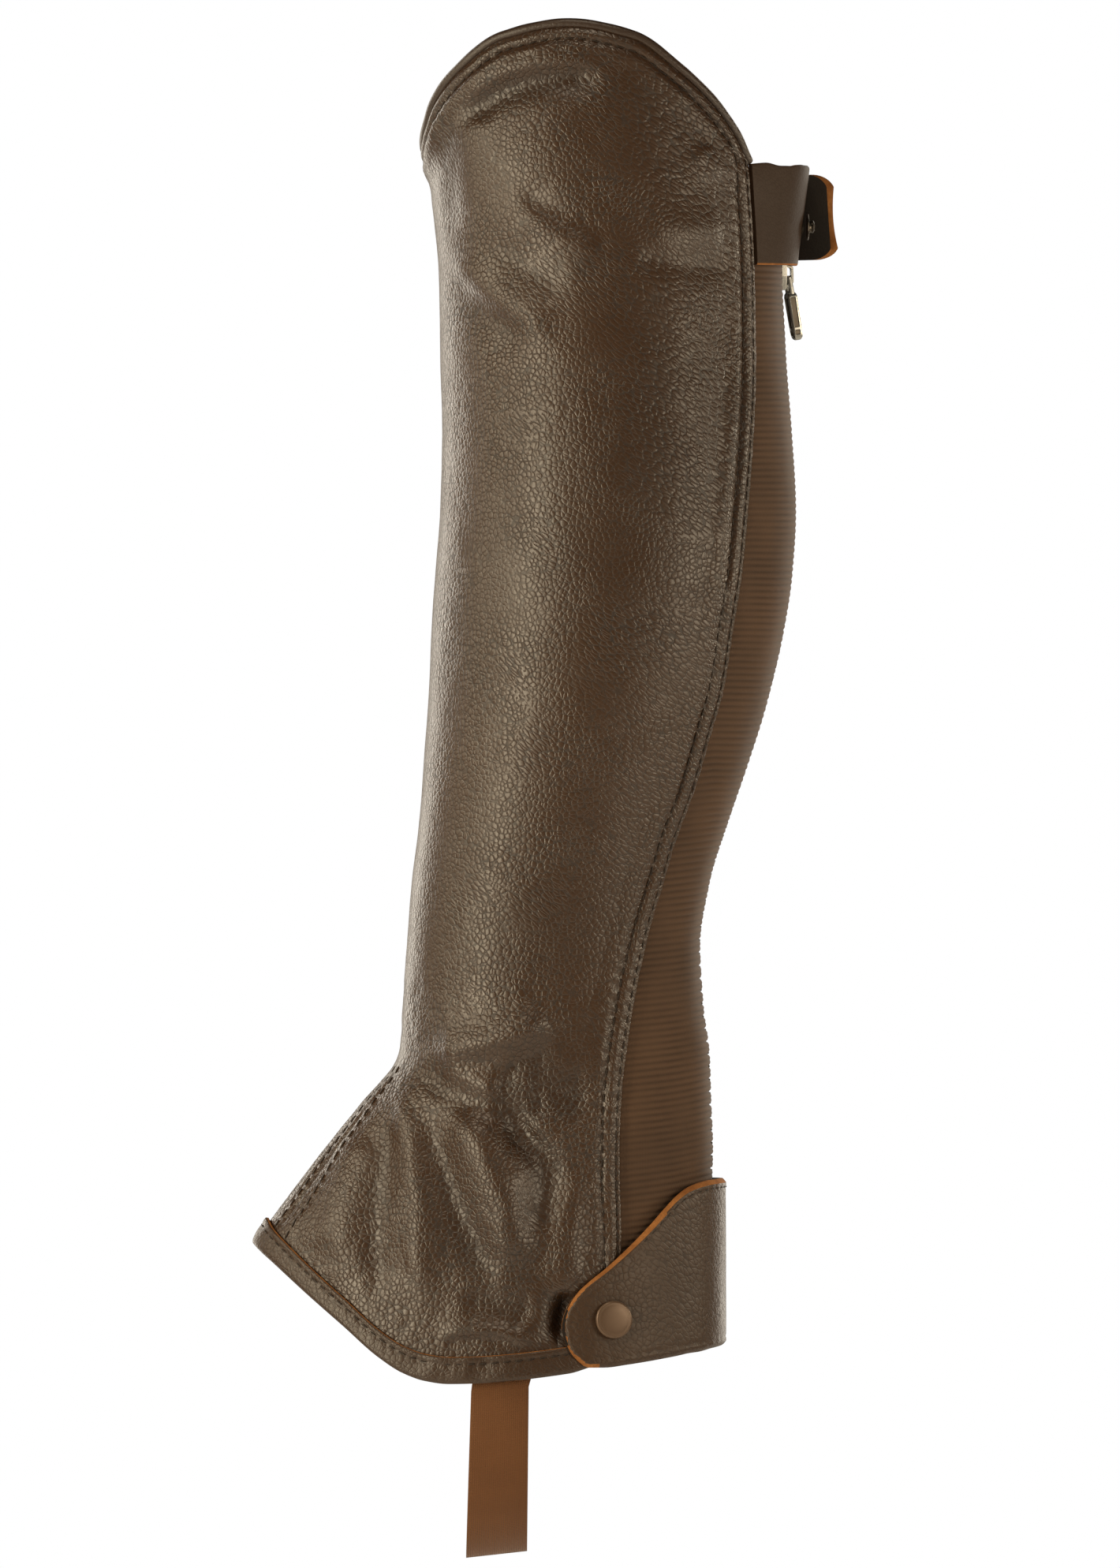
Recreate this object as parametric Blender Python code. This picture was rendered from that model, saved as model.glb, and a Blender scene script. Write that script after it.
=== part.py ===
"""A left half chap: a leather leg guard with an elastic gusset, a back zip and a foot strap.

It keeps the hollow shape it has on the leg. -X is the toe, +X the heel, -Y the outer side of
the leg and +Z up. The origin lies on the leg's axis where the calf is fullest. Sizes are in
millimetres and become metres where a mesh is made. An angle around the leg is 0 at the shin,
positive on the outer side and 180 degrees at the back.
"""

import math

import bmesh
import bpy
import numpy as np

MM = 0.001

LEATHER = 2.0
ELASTIC = 1.4
TAPE = 1.0
SEAM_GAP = 0.3
EDGE_GAP = 0.5

# How far each piece's outer face lies outside (+) or inside (-) the leather's outer face.
ELASTIC_OUT = -0.9
TAPE_OUT = -1.5
CHAIN_OUT = -0.3
CHAIN_THICK = 2.3
BINDING_OUT = 1.9
HEEL_TAB_OUT = 4.3

# The leather's turned edge along the gusset.
TURNED_EDGE = 7.5
TURNED_RAISE = 0.8

# Ribs of the gusset: 169 woven ribs, two for each stitch of the zip seam.
RIB_PITCH = 2.3
RIB_DEPTH = 0.45

# The zip runs down the back, a little to the inner side: height, then how far it is moved.
ZIP_PATH = ((-310.0, 0.0), (-160.0, 0.0), (-60.0, 1.0), (50.0, 4.5), (90.0, 5.0))

# Places across the back, as distances towards the inner side from where the gusset ends.
GUSSET_EDGE = 0.0
CHAIN_FROM = 4.3
CHAIN_TO = 9.7
LEATHER_EDGE = 14.0

# The share of the leather's round, from the gusset to the zip, that lies before the shin.
SHIN_SHARE = 0.455

ZIP_TOP = 87.0
CHAIN_TOP = 78.7
GUSSET_TOP = 90.0
SLIDER_HEIGHT = 84.5

PIPING_RADIUS = 1.6
BINDING_WIDTH = 9.5

STRAP_WIDTH = 21.0
STRAP_THICK = 1.6
STRAP_MIDDLE = -42.0
STRAP_LOWEST = -371.0
STRAP_SEWN = 12.0

SNAP_RADIUS = 6.7

# The leg's rounds, from the top down. front and back are where the outline meets the view
# from the side, widest is where the round is broadest, and a power of 2 is an ellipse.
SECTION_COLUMNS = ("height", "front", "back", "widest", "half_width", "front_power", "back_power")
SECTIONS = (
    (180.0, -71.0, 58.0, -6.5, 52.0, 2.00, 2.0),
    (154.0, -70.9, 58.2, -6.3, 53.0, 2.00, 2.0),
    (131.0, -70.0, 58.6, -5.7, 54.0, 2.00, 2.0),
    (118.0, -67.6, 59.0, -4.4, 54.5, 2.00, 2.0),
    (102.0, -65.3, 58.9, -3.0, 55.0, 2.00, 2.0),
    (84.0, -63.7, 59.2, -2.0, 55.3, 2.00, 2.0),
    (56.0, -63.2, 60.5, -1.2, 56.0, 2.00, 2.0),
    (28.0, -62.5, 62.6, 0.0, 56.8, 2.00, 2.0),
    (0.0, -63.4, 64.1, 0.2, 57.0, 2.00, 2.0),
    (-22.0, -65.0, 62.8, -1.3, 56.5, 2.00, 2.0),
    (-44.0, -66.5, 59.4, -3.6, 55.0, 2.00, 2.0),
    (-66.0, -67.4, 54.2, -6.6, 53.0, 2.00, 2.0),
    (-88.0, -69.0, 47.4, -10.8, 50.3, 2.00, 2.0),
    (-110.0, -70.7, 40.0, -15.4, 47.2, 2.00, 2.0),
    (-132.0, -73.4, 33.2, -20.2, 44.2, 1.98, 2.05),
    (-154.0, -75.1, 29.9, -23.2, 42.0, 1.96, 2.10),
    (-176.0, -76.5, 31.0, -24.6, 41.0, 1.94, 2.10),
    (-190.0, -77.6, 33.0, -26.0, 41.0, 1.88, 2.10),
    (-196.0, -79.6, 33.4, -27.0, 41.1, 1.82, 2.10),
    (-210.0, -91.0, 33.8, -30.0, 41.5, 1.66, 2.15),
    (-226.8, -104.5, 34.4, -33.0, 42.2, 1.55, 2.20),
    (-243.6, -117.2, 33.9, -36.0, 43.0, 1.50, 2.20),
    (-257.6, -127.6, 33.9, -36.0, 43.6, 1.48, 2.20),
    (-283.0, -133.0, 34.0, -36.0, 44.6, 1.48, 2.20),
    (-330.0, -137.0, 34.0, -36.0, 46.0, 1.48, 2.20),
)

# The leather's top edge: angle around the leg in degrees, then height.
RIM = (
    (-180.0, 120.5),
    (-120.0, 119.5),
    (-60.0, 120.5),
    (-25.0, 124.0),
    (0.0, 128.5),
    (14.0, 136.5),
    (23.0, 144.5),
    (39.0, 156.0),
    (58.0, 167.2),
    (80.0, 171.4),
    (100.0, 167.2),
    (115.0, 156.0),
    (127.0, 145.0),
    (137.0, 133.5),
    (146.0, 121.0),
    (180.0, 120.5),
)

# The hem, from the toe back: distance along the foot, then height.
HEM = (
    (-129.0, -259.0),
    (-126.6, -261.8),
    (-122.0, -266.0),
    (-110.0, -277.0),
    (-97.0, -288.4),
    (-85.0, -299.0),
    (-76.0, -304.8),
    (-68.0, -307.6),
    (-59.9, -308.6),
    (-17.9, -304.9),
    (-8.0, -302.0),
    (19.9, -297.6),
    (34.2, -294.0),
)

# The gusset's front seam: height, then distance along the foot.
GUSSET_SEAM = (
    (124.0, 45.9),
    (87.0, 47.9),
    (50.0, 48.4),
    (22.0, 47.3),
    (0.0, 45.6),
    (-20.0, 43.8),
    (-42.0, 40.4),
    (-63.0, 37.0),
    (-77.0, 33.0),
    (-98.0, 26.9),
    (-118.0, 19.6),
    (-129.0, 16.5),
    (-149.0, 10.7),
    (-170.0, 6.1),
    (-191.0, 2.8),
    (-206.0, 1.1),
    (-227.0, 0.3),
    (-255.0, 0.9),
    (-300.0, 1.7),
)

# The largest folds, each a soft line seen from the side it is on (1 outer, -1 inner):
# from (x1, z1) to (x2, z2), bowed sideways, with its half width and its push outwards.
FOLD_COLUMNS = ("side", "x1", "z1", "x2", "z2", "bow", "half_width", "push")
FOLDS = (
    (1, -20.0, -180.0, -40.5, -206.0, -3.0, 6.0, -3.0),
    (1, -5.0, -189.0, -28.0, -208.0, 0.0, 9.0, 2.0),
    (1, -39.0, -201.0, -16.0, -240.0, 3.0, 6.0, 2.6),
    (1, -44.0, -205.0, -24.0, -256.0, 4.0, 6.0, -2.4),
    (1, -68.0, -199.0, -35.0, -243.0, 3.0, 7.5, 2.3),
    (1, -75.0, -209.0, -47.0, -272.0, 4.0, 7.5, -1.9),
    (1, -82.0, -214.0, -75.0, -273.0, 3.0, 8.5, 1.6),
    (1, -62.0, -287.0, -26.0, -292.0, 0.0, 7.0, 1.4),
    (1, -56.0, -276.0, -33.0, -280.0, 0.0, 8.0, -1.8),
    (1, -64.0, -189.0, -23.0, -176.0, 3.0, 8.0, 2.0),
    (1, -70.0, -199.0, -40.0, -191.0, 0.0, 6.0, -1.3),
    (1, -58.0, 141.0, -2.0, 157.0, 8.0, 5.0, 1.4),
    (1, -57.0, 132.0, 5.0, 146.0, 8.0, 7.0, -1.5),
    (1, -31.0, 109.0, -2.0, 96.0, 0.0, 6.0, -1.7),
    (1, -28.0, 116.0, 2.0, 104.0, 0.0, 7.0, 1.1),
    (1, -60.0, 95.0, -26.0, 71.0, 2.0, 6.0, 1.8),
    (1, -61.0, 84.0, -39.0, 63.0, 2.0, 6.0, -1.8),
    (1, 7.0, 90.0, 41.0, 87.0, -2.0, 8.0, -1.7),
    (1, 28.0, 133.0, 36.0, 119.0, 0.0, 5.0, -1.2),
    (1, 4.0, 128.0, 22.0, 108.0, 0.0, 18.0, 1.5),
    (-1, -22.0, -178.0, -44.0, -203.0, 3.0, 6.5, -2.8),
    (-1, -38.0, -203.0, -18.0, -242.0, -3.0, 6.5, 2.4),
    (-1, -66.0, -198.0, -38.0, -240.0, -3.0, 8.0, 2.2),
    (-1, -74.0, -211.0, -50.0, -268.0, -3.0, 8.0, -1.8),
    (-1, -60.0, -186.0, -20.0, -172.0, -2.0, 8.0, 1.9),
    (-1, -59.0, 92.0, -24.0, 72.0, -2.0, 6.5, 1.7),
    (-1, -58.0, 80.0, -36.0, 60.0, -2.0, 6.5, -1.7),
    (-1, 0.0, 93.0, 34.0, 84.0, 2.0, 8.0, -1.6),
)

# The heel tab's outline on the outer side, from its round tip back: distance along the
# foot as it is seen from the side, then its top and bottom edges.
HEEL_TAB = (
    (-19.3, -287.4, -289.4),
    (-18.6, -284.6, -292.6),
    (-16.8, -280.6, -297.2),
    (-13.7, -276.6, -300.4),
    (-9.5, -272.7, -302.9),
    (-3.9, -268.4, -302.9),
    (4.5, -261.0, -301.9),
    (12.9, -252.6, -300.6),
    (18.5, -246.4, -299.6),
    (22.7, -242.0, -298.8),
    (26.3, -239.2, -298.0),
    (30.0, -237.6, -297.5),
    (34.4, -236.5, -296.3),
)
HEEL_TAB_TOP = -236.0
HEEL_TAB_BOTTOM = -295.3
HEEL_TAB_INNER_REACH = 38.0

TOP_TAB_TOP = 123.0
TOP_TAB_BOTTOM = 87.6
OPEN_TAB_TOP = 120.0
OPEN_TAB_BOTTOM = 89.6
TOP_TAB_END = 13.0
TOP_SNAP_HEIGHT = 101.5


def smooth_curve(rows):
    """A curve through (x, y) rows in rising x that never swings past them."""
    rows = np.array(sorted(rows), float)
    xs, ys = rows[:, 0], rows[:, 1]
    step = np.diff(xs)
    slope = np.diff(ys) / step
    before, after = slope[:-1], slope[1:]
    turning = before * after <= 0
    safe_before = np.where(turning, 1.0, before)
    safe_after = np.where(turning, 1.0, after)
    near, far = 2 * step[1:] + step[:-1], step[1:] + 2 * step[:-1]
    inner = np.where(turning, 0.0, (near + far) / (near / safe_before + far / safe_after))
    tangent = np.concatenate([slope[:1], inner, slope[-1:]])

    def at(x):
        x = np.clip(x, xs[0], xs[-1])
        i = np.clip(np.searchsorted(xs, x) - 1, 0, len(step) - 1)
        u = (x - xs[i]) / step[i]
        rise = ys[i + 1] - ys[i]
        start, end = tangent[i] * step[i], tangent[i + 1] * step[i]
        return ys[i] + start * u + (3 * rise - 2 * start - end) * u**2 + (start + end - 2 * rise) * u**3

    return at


def column(name):
    """One column of the leg's rounds as a curve over height."""
    i = SECTION_COLUMNS.index(name)
    return smooth_curve([(row[0], row[i]) for row in SECTIONS])


SECTION = {name: column(name) for name in SECTION_COLUMNS[1:]}
RIM_HEIGHT = smooth_curve(RIM)
HEM_HEIGHT = smooth_curve(HEM)
SEAM_X = smooth_curve(GUSSET_SEAM)


def skin(angle, height):
    """Points of the leather's outer face before its folds."""
    angle, height = np.broadcast_arrays(np.asarray(angle, float), np.asarray(height, float))
    size = {name: curve(height) for name, curve in SECTION.items()}
    ahead = np.cos(angle) >= 0
    power = 2 / np.where(ahead, size["front_power"], size["back_power"])
    reach = np.where(ahead, size["front"], size["back"]) - size["widest"]
    x = size["widest"] + reach * np.abs(np.cos(angle)) ** power
    y = -np.sign(np.sin(angle)) * size["half_width"] * np.abs(np.sin(angle)) ** power
    return np.stack([x, y, height], -1)


def unit(vectors):
    return vectors / np.linalg.norm(vectors, axis=-1, keepdims=True)


def outward(angle, height):
    """The direction straight out of the leather."""
    turn, lift = 0.02, 2.5
    across = skin(angle + turn, height) - skin(angle - turn, height)
    up = skin(angle, height + lift) - skin(angle, height - lift)
    return unit(np.cross(across, up))


def fold_push(points):
    """How far the folds push points of the leather outwards."""
    total = np.zeros(points.shape[:-1])
    for row in FOLDS:
        fold = dict(zip(FOLD_COLUMNS, row))
        start = np.array([fold["x1"], fold["z1"]])
        line = np.array([fold["x2"], fold["z2"]]) - start
        length = np.linalg.norm(line)
        offset = points[..., [0, 2]] - start
        along = offset @ line / length**2
        hump = np.clip(4 * along * (1 - along), 0, 1)
        beside = (offset[..., 0] * line[1] - offset[..., 1] * line[0]) / length - fold["bow"] * hump
        on_side = np.clip(-fold["side"] * points[..., 1] / 12, 0, 1)
        total += fold["push"] * on_side * hump**0.7 * np.exp(-((beside / fold["half_width"]) ** 2))
    above_hem = points[..., 2] - HEM_HEIGHT(points[..., 0])
    return total * np.clip((above_hem - BINDING_WIDTH) / 8, 0, 1)


def cloth(angle, height, out=0.0):
    """Points that lie `out` outside the folded leather."""
    base = skin(angle, height)
    push = fold_push(base) + out
    return base + outward(angle, height) * push[..., None]


def angle_at_x(x, height, out=0.0):
    """The angle on the outer side, behind the widest place, where the round is at x."""
    widest = SECTION["widest"](height)
    reach = SECTION["back"](height) + out - widest
    share = np.clip((x - widest) / reach, 0, 1)
    return math.pi - np.arccos(share ** (SECTION["back_power"](height) / 2))


def angle_past_back(y, height):
    """The angle at the back that lies y past the centre line, towards the inner side."""
    share = np.abs(y) / SECTION["half_width"](height)
    return math.pi + np.sign(y) * np.arcsin(share ** (SECTION["back_power"](height) / 2))


ZIP_MOVED = smooth_curve(ZIP_PATH)


def zip_angle(across, height):
    """The angle at the back of a place `across` the zip."""
    return angle_past_back(across + ZIP_MOVED(height), height)


def seam_angle(height):
    return angle_at_x(SEAM_X(height), height)


def leather_edge_angle(height):
    return zip_angle(LEATHER_EDGE, height) - 2 * math.pi


def even_angles():
    """Angles that split the leather at each height into even stretches on each side of the shin."""
    heights = np.arange(-330.0, 181.0, 3.0)
    shares = np.linspace(0, 1, 201)
    table = []
    for height in heights:
        row = np.empty(shares.shape)
        for first, last, low, high in (
            (seam_angle(height), 0.0, 0.0, SHIN_SHARE),
            (0.0, leather_edge_angle(height), SHIN_SHARE, 1.0),
        ):
            angles = np.linspace(first, last, 121)
            steps = np.linalg.norm(np.diff(skin(angles, height), axis=0), axis=1)
            walked = np.concatenate([[0], np.cumsum(steps)]) / steps.sum()
            part = (shares >= low) & (shares <= high)
            row[part] = np.interp((shares[part] - low) / (high - low), walked, angles)
        table.append(row)
    return heights, shares, np.array(table)


EVEN_HEIGHTS, EVEN_SHARES, EVEN_ANGLES = even_angles()


def leather_angle(share, height):
    """The angle at a share (0 at the gusset seam, 1 at the zip) of the leather's round."""
    share, height = np.broadcast_arrays(np.asarray(share, float), np.asarray(height, float))
    row = (height - EVEN_HEIGHTS[0]) / (EVEN_HEIGHTS[1] - EVEN_HEIGHTS[0])
    col = share * (len(EVEN_SHARES) - 1)
    i = np.clip(row.astype(int), 0, len(EVEN_HEIGHTS) - 2)
    j = np.clip(col.astype(int), 0, len(EVEN_SHARES) - 2)
    u, v = row - i, col - j
    low = EVEN_ANGLES[i, j] * (1 - v) + EVEN_ANGLES[i, j + 1] * v
    high = EVEN_ANGLES[i + 1, j] * (1 - v) + EVEN_ANGLES[i + 1, j + 1] * v
    return low * (1 - u) + high * u


def settle(height, goal):
    """The heights that `goal` gives back unchanged."""
    for _ in range(60):
        height = 0.5 * height + 0.5 * goal(height)
    return height


def rim_and_hem(shares):
    """The leather's top and bottom heights at each share of its round."""
    top = settle(np.full(shares.shape, 140.0), lambda z: RIM_HEIGHT(np.degrees(leather_angle(shares, z))))
    bottom = settle(np.full(shares.shape, -290.0), lambda z: HEM_HEIGHT(skin(leather_angle(shares, z), z)[..., 0]))
    return top, bottom


def material(name, colour, roughness, metallic=0.0):
    found = bpy.data.materials.get(name)
    if found:
        return found
    made = bpy.data.materials.new(name)
    made.use_nodes = True
    shader = made.node_tree.nodes["Principled BSDF"]
    shader.inputs["Base Color"].default_value = (*colour, 1.0)
    shader.inputs["Roughness"].default_value = roughness
    shader.inputs["Metallic"].default_value = metallic
    return made


def brown_leather():
    return material("brown_leather", (0.075, 0.050, 0.033), 0.45)


def brown_elastic():
    return material("brown_elastic", (0.065, 0.040, 0.026), 0.8)


def tan_elastic():
    return material("tan_elastic", (0.125, 0.060, 0.028), 0.8)


def zip_cloth():
    return material("zip_cloth", (0.030, 0.022, 0.017), 0.8)


def zip_metal():
    return material("zip_metal", (0.42, 0.41, 0.39), 0.3, 1.0)


def snap_enamel():
    return material("snap_enamel", (0.105, 0.070, 0.048), 0.35, 0.4)


def add_mesh(name, points, faces, look, smooth_below=40.0):
    """A closed mesh object from points in millimetres."""
    mesh = bpy.data.meshes.new(name)
    mesh.from_pydata([[value * MM for value in point] for point in points], [], faces)
    mesh.validate()
    shape = bmesh.new()
    shape.from_mesh(mesh)
    bmesh.ops.recalc_face_normals(shape, faces=shape.faces)
    shape.to_mesh(mesh)
    shape.free()
    mesh.materials.append(look)
    mesh.shade_smooth()
    mesh.set_sharp_from_angle(angle=math.radians(smooth_below))
    made = bpy.data.objects.new(name, mesh)
    bpy.context.scene.collection.objects.link(made)
    return made


def grid_faces(grid):
    """Quads between the neighbours of a grid of point numbers."""
    return [
        (grid[i, j], grid[i, j + 1], grid[i + 1, j + 1], grid[i + 1, j])
        for i in range(grid.shape[0] - 1)
        for j in range(grid.shape[1] - 1)
    ]


def zipper_faces(first, second):
    """Triangles between two edges that start and end together but hold different counts."""
    faces = []
    i = j = 0
    while i < len(first) - 1 or j < len(second) - 1:
        step_first = (i + 1) / (len(first) - 1) if i < len(first) - 1 else 2
        step_second = (j + 1) / (len(second) - 1) if j < len(second) - 1 else 2
        if step_first <= step_second:
            faces.append((first[i], first[i + 1], second[j]))
            i += 1
        else:
            faces.append((first[i], second[j + 1], second[j]))
            j += 1
    return faces


def wall(name, outer, inner, look):
    """A closed wall between two grids of points, rows down and columns across.

    The two grids have as many columns, and may have different rows.
    """
    outer_ids = np.arange(outer.shape[0] * outer.shape[1]).reshape(outer.shape[:2])
    inner_ids = np.arange(inner.shape[0] * inner.shape[1]).reshape(inner.shape[:2]) + outer_ids.size
    faces = grid_faces(outer_ids) + [face[::-1] for face in grid_faces(inner_ids)]
    for row in (0, -1):
        faces += grid_faces(np.stack([outer_ids[row], inner_ids[row]]))
    for col in (0, -1):
        faces += zipper_faces(list(outer_ids[:, col]), list(inner_ids[:, col]))
    points = np.concatenate([outer.reshape(-1, 3), inner.reshape(-1, 3)])
    return add_mesh(name, points.tolist(), [tuple(int(i) for i in face) for face in faces], look)


def tube(name, centres, radius, sides, look, closed=False):
    """A round cord along points, with flat ends unless it is a closed loop."""
    centres = np.asarray(centres, float)
    if closed:
        along = unit(np.roll(centres, -1, 0) - np.roll(centres, 1, 0))
    else:
        along = unit(np.gradient(centres, axis=0))
    side = unit(np.cross(along[0], [0.31, 0.42, 0.85]))
    rings = []
    for centre, direction in zip(centres, along):
        side = unit(side - direction * (side @ direction))
        other = np.cross(direction, side)
        turns = np.arange(sides) * 2 * math.pi / sides
        rings.append(centre + radius * (np.outer(np.cos(turns), side) + np.outer(np.sin(turns), other)))
    ids = np.arange(len(rings) * sides).reshape(len(rings), sides)
    looped = np.concatenate([ids, ids[:, :1]], 1)
    if closed:
        looped = np.concatenate([looped, looped[:1]], 0)
    faces = grid_faces(looped)
    if not closed:
        faces += [tuple(ids[0][::-1]), tuple(ids[-1])]
    faces = [tuple(int(i) for i in face) for face in faces]
    return add_mesh(name, np.concatenate(rings).tolist(), faces, look, smooth_below=60.0)


def turned(name, profile, centre, axis, look, sides=20):
    """A turned piece: profile rows are (radius, distance along the axis), from pole to pole."""
    axis = unit(np.asarray(axis, float))
    side = unit(np.cross(axis, [0.0, 0.0, 1.0]))
    other = np.cross(axis, side)
    turns = np.arange(sides) * 2 * math.pi / sides
    round_ = np.outer(np.cos(turns), side) + np.outer(np.sin(turns), other)
    points = [centre + axis * profile[0][1]]
    for radius, rise in profile[1:-1]:
        points += list(centre + axis * rise + radius * round_)
    points.append(centre + axis * profile[-1][1])
    ids = 1 + np.arange((len(profile) - 2) * sides).reshape(-1, sides)
    looped = np.concatenate([ids, ids[:, :1]], 1)
    faces = grid_faces(looped)
    last = len(points) - 1
    for k in range(sides):
        faces.append((0, looped[0, k + 1], looped[0, k]))
        faces.append((last, looped[-1, k], looped[-1, k + 1]))
    faces = [tuple(int(i) for i in face) for face in faces]
    return add_mesh(name, [list(point) for point in points], faces, look)


def leather_rows():
    """Shares of the way from the hem to the rim, closest at the ankle and below the knee."""
    spacing = smooth_curve([(0.0, 6.5), (0.24, 6.5), (0.32, 12.5), (0.68, 15.5), (0.78, 9.0), (1.0, 8.0)])
    shares = [0.0]
    while shares[-1] < 1.0:
        shares.append(shares[-1] + float(spacing(shares[-1])) / 452.0)
    return np.array(shares) / shares[-1]


LEATHER_COLUMNS = np.concatenate(
    [[0.0, 0.02, 0.025], np.linspace(0.05, SHIN_SHARE, 16), np.linspace(SHIN_SHARE, 1.0, 22)[1:]]
)


def make_leather_upper():
    """The leather round the shin, from the gusset's seam to the zip."""
    across = LEATHER_COLUMNS
    up = leather_rows()
    top, bottom = rim_and_hem(across)
    heights = bottom + (top - bottom) * up[:, None]
    angles = leather_angle(across, heights)
    raised = np.where(across < 0.022, TURNED_RAISE, 0.0) * np.clip((heights - bottom - BINDING_WIDTH) / 8, 0, 1)
    outer = cloth(angles, heights, raised)
    inner = cloth(angles, heights, -LEATHER)
    return wall("leather_upper", outer, inner, brown_leather())


def make_hem_binding():
    """The leather strip on the outside of the hem."""
    across = LEATHER_COLUMNS
    _, bottom = rim_and_hem(across)
    foot = skin(leather_angle(across, bottom), bottom)
    above = skin(leather_angle(across, bottom + 4.0), bottom + 4.0)
    rise = unit(above - foot)[:, 2] * BINDING_WIDTH
    heights = bottom + rise * np.array([[0.0], [0.5], [1.0]])
    angles = leather_angle(across, heights)
    outer = cloth(angles, heights, BINDING_OUT)
    inner = cloth(angles, heights, SEAM_GAP + 0.2)
    return wall("hem_binding", outer, inner, brown_leather())


def make_rim_piping():
    """The rolled leather edge on the rim."""
    across = LEATHER_COLUMNS
    top, _ = rim_and_hem(across)
    angles = leather_angle(across, top)
    edge = cloth(angles, top, -LEATHER / 2)
    away = unit(np.cross(unit(np.gradient(edge, axis=0)), outward(angles, top)))
    away *= np.sign(away[:, 2:])
    centres = edge + away * (PIPING_RADIUS + SEAM_GAP)
    return tube("rim_piping", centres, PIPING_RADIUS, 8, brown_leather())


def make_elastic_gusset():
    """The ribbed elastic behind the seam, with woven ribs that run across it."""
    across = np.linspace(0, 1, 5)
    ribs = int((GUSSET_TOP + 299.0) / RIB_PITCH)

    def face(rows, out):
        heights = np.empty((len(rows), len(across)))
        angles = np.empty_like(heights)
        for i, row in enumerate(rows):
            level = GUSSET_TOP - row * ribs * RIB_PITCH
            first = seam_angle(level) + EDGE_GAP / 45.0
            last = zip_angle(GUSSET_EDGE, level)
            angles[i] = first + (last - first) * across
            hem = HEM_HEIGHT(skin(angles[i], level)[:, 0])
            heights[i] = GUSSET_TOP + (hem - GUSSET_TOP) * row
        return cloth(angles, heights, out)

    outer_rows = np.linspace(0, 1, 2 * ribs + 1)
    valley = np.where(np.arange(2 * ribs + 1) % 2 == 0, -RIB_DEPTH, 0.0)
    fading = np.where((across > 0) & (across < 1), 1.0, 0.4)
    outer = face(outer_rows, ELASTIC_OUT + valley[:, None] * fading)
    inner = face(np.linspace(0, 1, 36), ELASTIC_OUT - ELASTIC)
    return wall("elastic_gusset", outer, inner, brown_elastic())


def make_back_strip(name, from_y, to_y, top, out, thick, look):
    """A strip of the zip that runs down the back between two distances past its centre."""
    levels = np.linspace(1, 0, 40)[:, None]
    sides = np.array([from_y, (from_y + to_y) / 2, to_y])
    bottom = HEM_HEIGHT(33.0) + 0.5
    heights = bottom + (top - bottom) * levels + 0 * sides
    angles = zip_angle(sides, heights)
    return wall(name, cloth(angles, heights, out), cloth(angles, heights, out - thick), look)


def make_zip():
    """Two tapes and, between them, the strip that the teeth fill."""
    make_back_strip("zip_tape_outer", GUSSET_EDGE + SEAM_GAP, CHAIN_FROM - SEAM_GAP, ZIP_TOP, TAPE_OUT, TAPE, zip_cloth())
    make_back_strip("zip_tape_inner", CHAIN_TO + SEAM_GAP, LEATHER_EDGE - SEAM_GAP, ZIP_TOP, TAPE_OUT, TAPE, zip_cloth())
    make_back_strip("zip_chain", CHAIN_FROM, CHAIN_TO, CHAIN_TOP, CHAIN_OUT, CHAIN_THICK, zip_cloth())


def zip_frame():
    """Where the slider sits: its point on the zip, and the ways out, down and across."""
    height = SLIDER_HEIGHT
    angle = zip_angle((CHAIN_FROM + CHAIN_TO) / 2, height)
    out = outward(angle, np.float64(height))
    across = unit(np.cross([0.0, 0.0, 1.0], out))
    down = unit(np.cross(across, out))
    down = down if down[2] < 0 else -down
    return skin(angle, height), out, down, across


def outline_block(name, outline, low, high, look, bevel=0.0):
    """A plate with that outline of (across, down) points, from low to high along the way out."""
    origin, out, down, across = zip_frame()
    points = []
    for level in (low, high):
        points += [list(origin + across * a + down * d + out * level) for a, d in outline]
    count = len(outline)
    faces = [tuple(range(count))[::-1], tuple(range(count, 2 * count))]
    faces += [(k, (k + 1) % count, count + (k + 1) % count, count + k) for k in range(count)]
    made = add_mesh(name, points, faces, look, smooth_below=30.0)
    if bevel:
        round_off = made.modifiers.new("bevel", "BEVEL")
        round_off.width = bevel * MM
        round_off.segments = 2
        round_off.limit_method = "ANGLE"
    return made


SLIDER_OUTLINE = ((-4.9, -4.6), (-3.2, -5.4), (3.2, -5.4), (4.9, -4.6), (4.6, 0.5), (3.4, 5.4), (-3.4, 5.4), (-4.6, 0.5))
BRIDGE_WIDTH = 2.2
BRIDGE = ((-3.7, 0.9), (-3.7, 3.5), (-2.6, 4.4), (2.6, 4.4), (3.7, 3.5), (3.7, 0.9))
BRIDGE_HOLE = ((2.6, 0.9), (2.6, 3.1), (2.0, 3.6), (-2.0, 3.6), (-2.6, 3.1), (-2.6, 0.9))
PULL_BAR = (1.0, 2.45)
PULL_LEAN = 8.0

# The pull from its hinge bar down: distance, half width and half thickness.
PULL_SECTIONS = (
    (-0.8, 2.6, 0.45),
    (-0.45, 2.95, 0.75),
    (0.3, 3.1, 0.8),
    (5.8, 3.1, 0.8),
    (6.9, 3.1, 1.25),
    (18.5, 2.6, 1.25),
    (21.6, 2.3, 1.2),
    (22.4, 1.7, 0.8),
)
PULL_WINDOW = (0.8, 5.4, 1.5)


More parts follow.
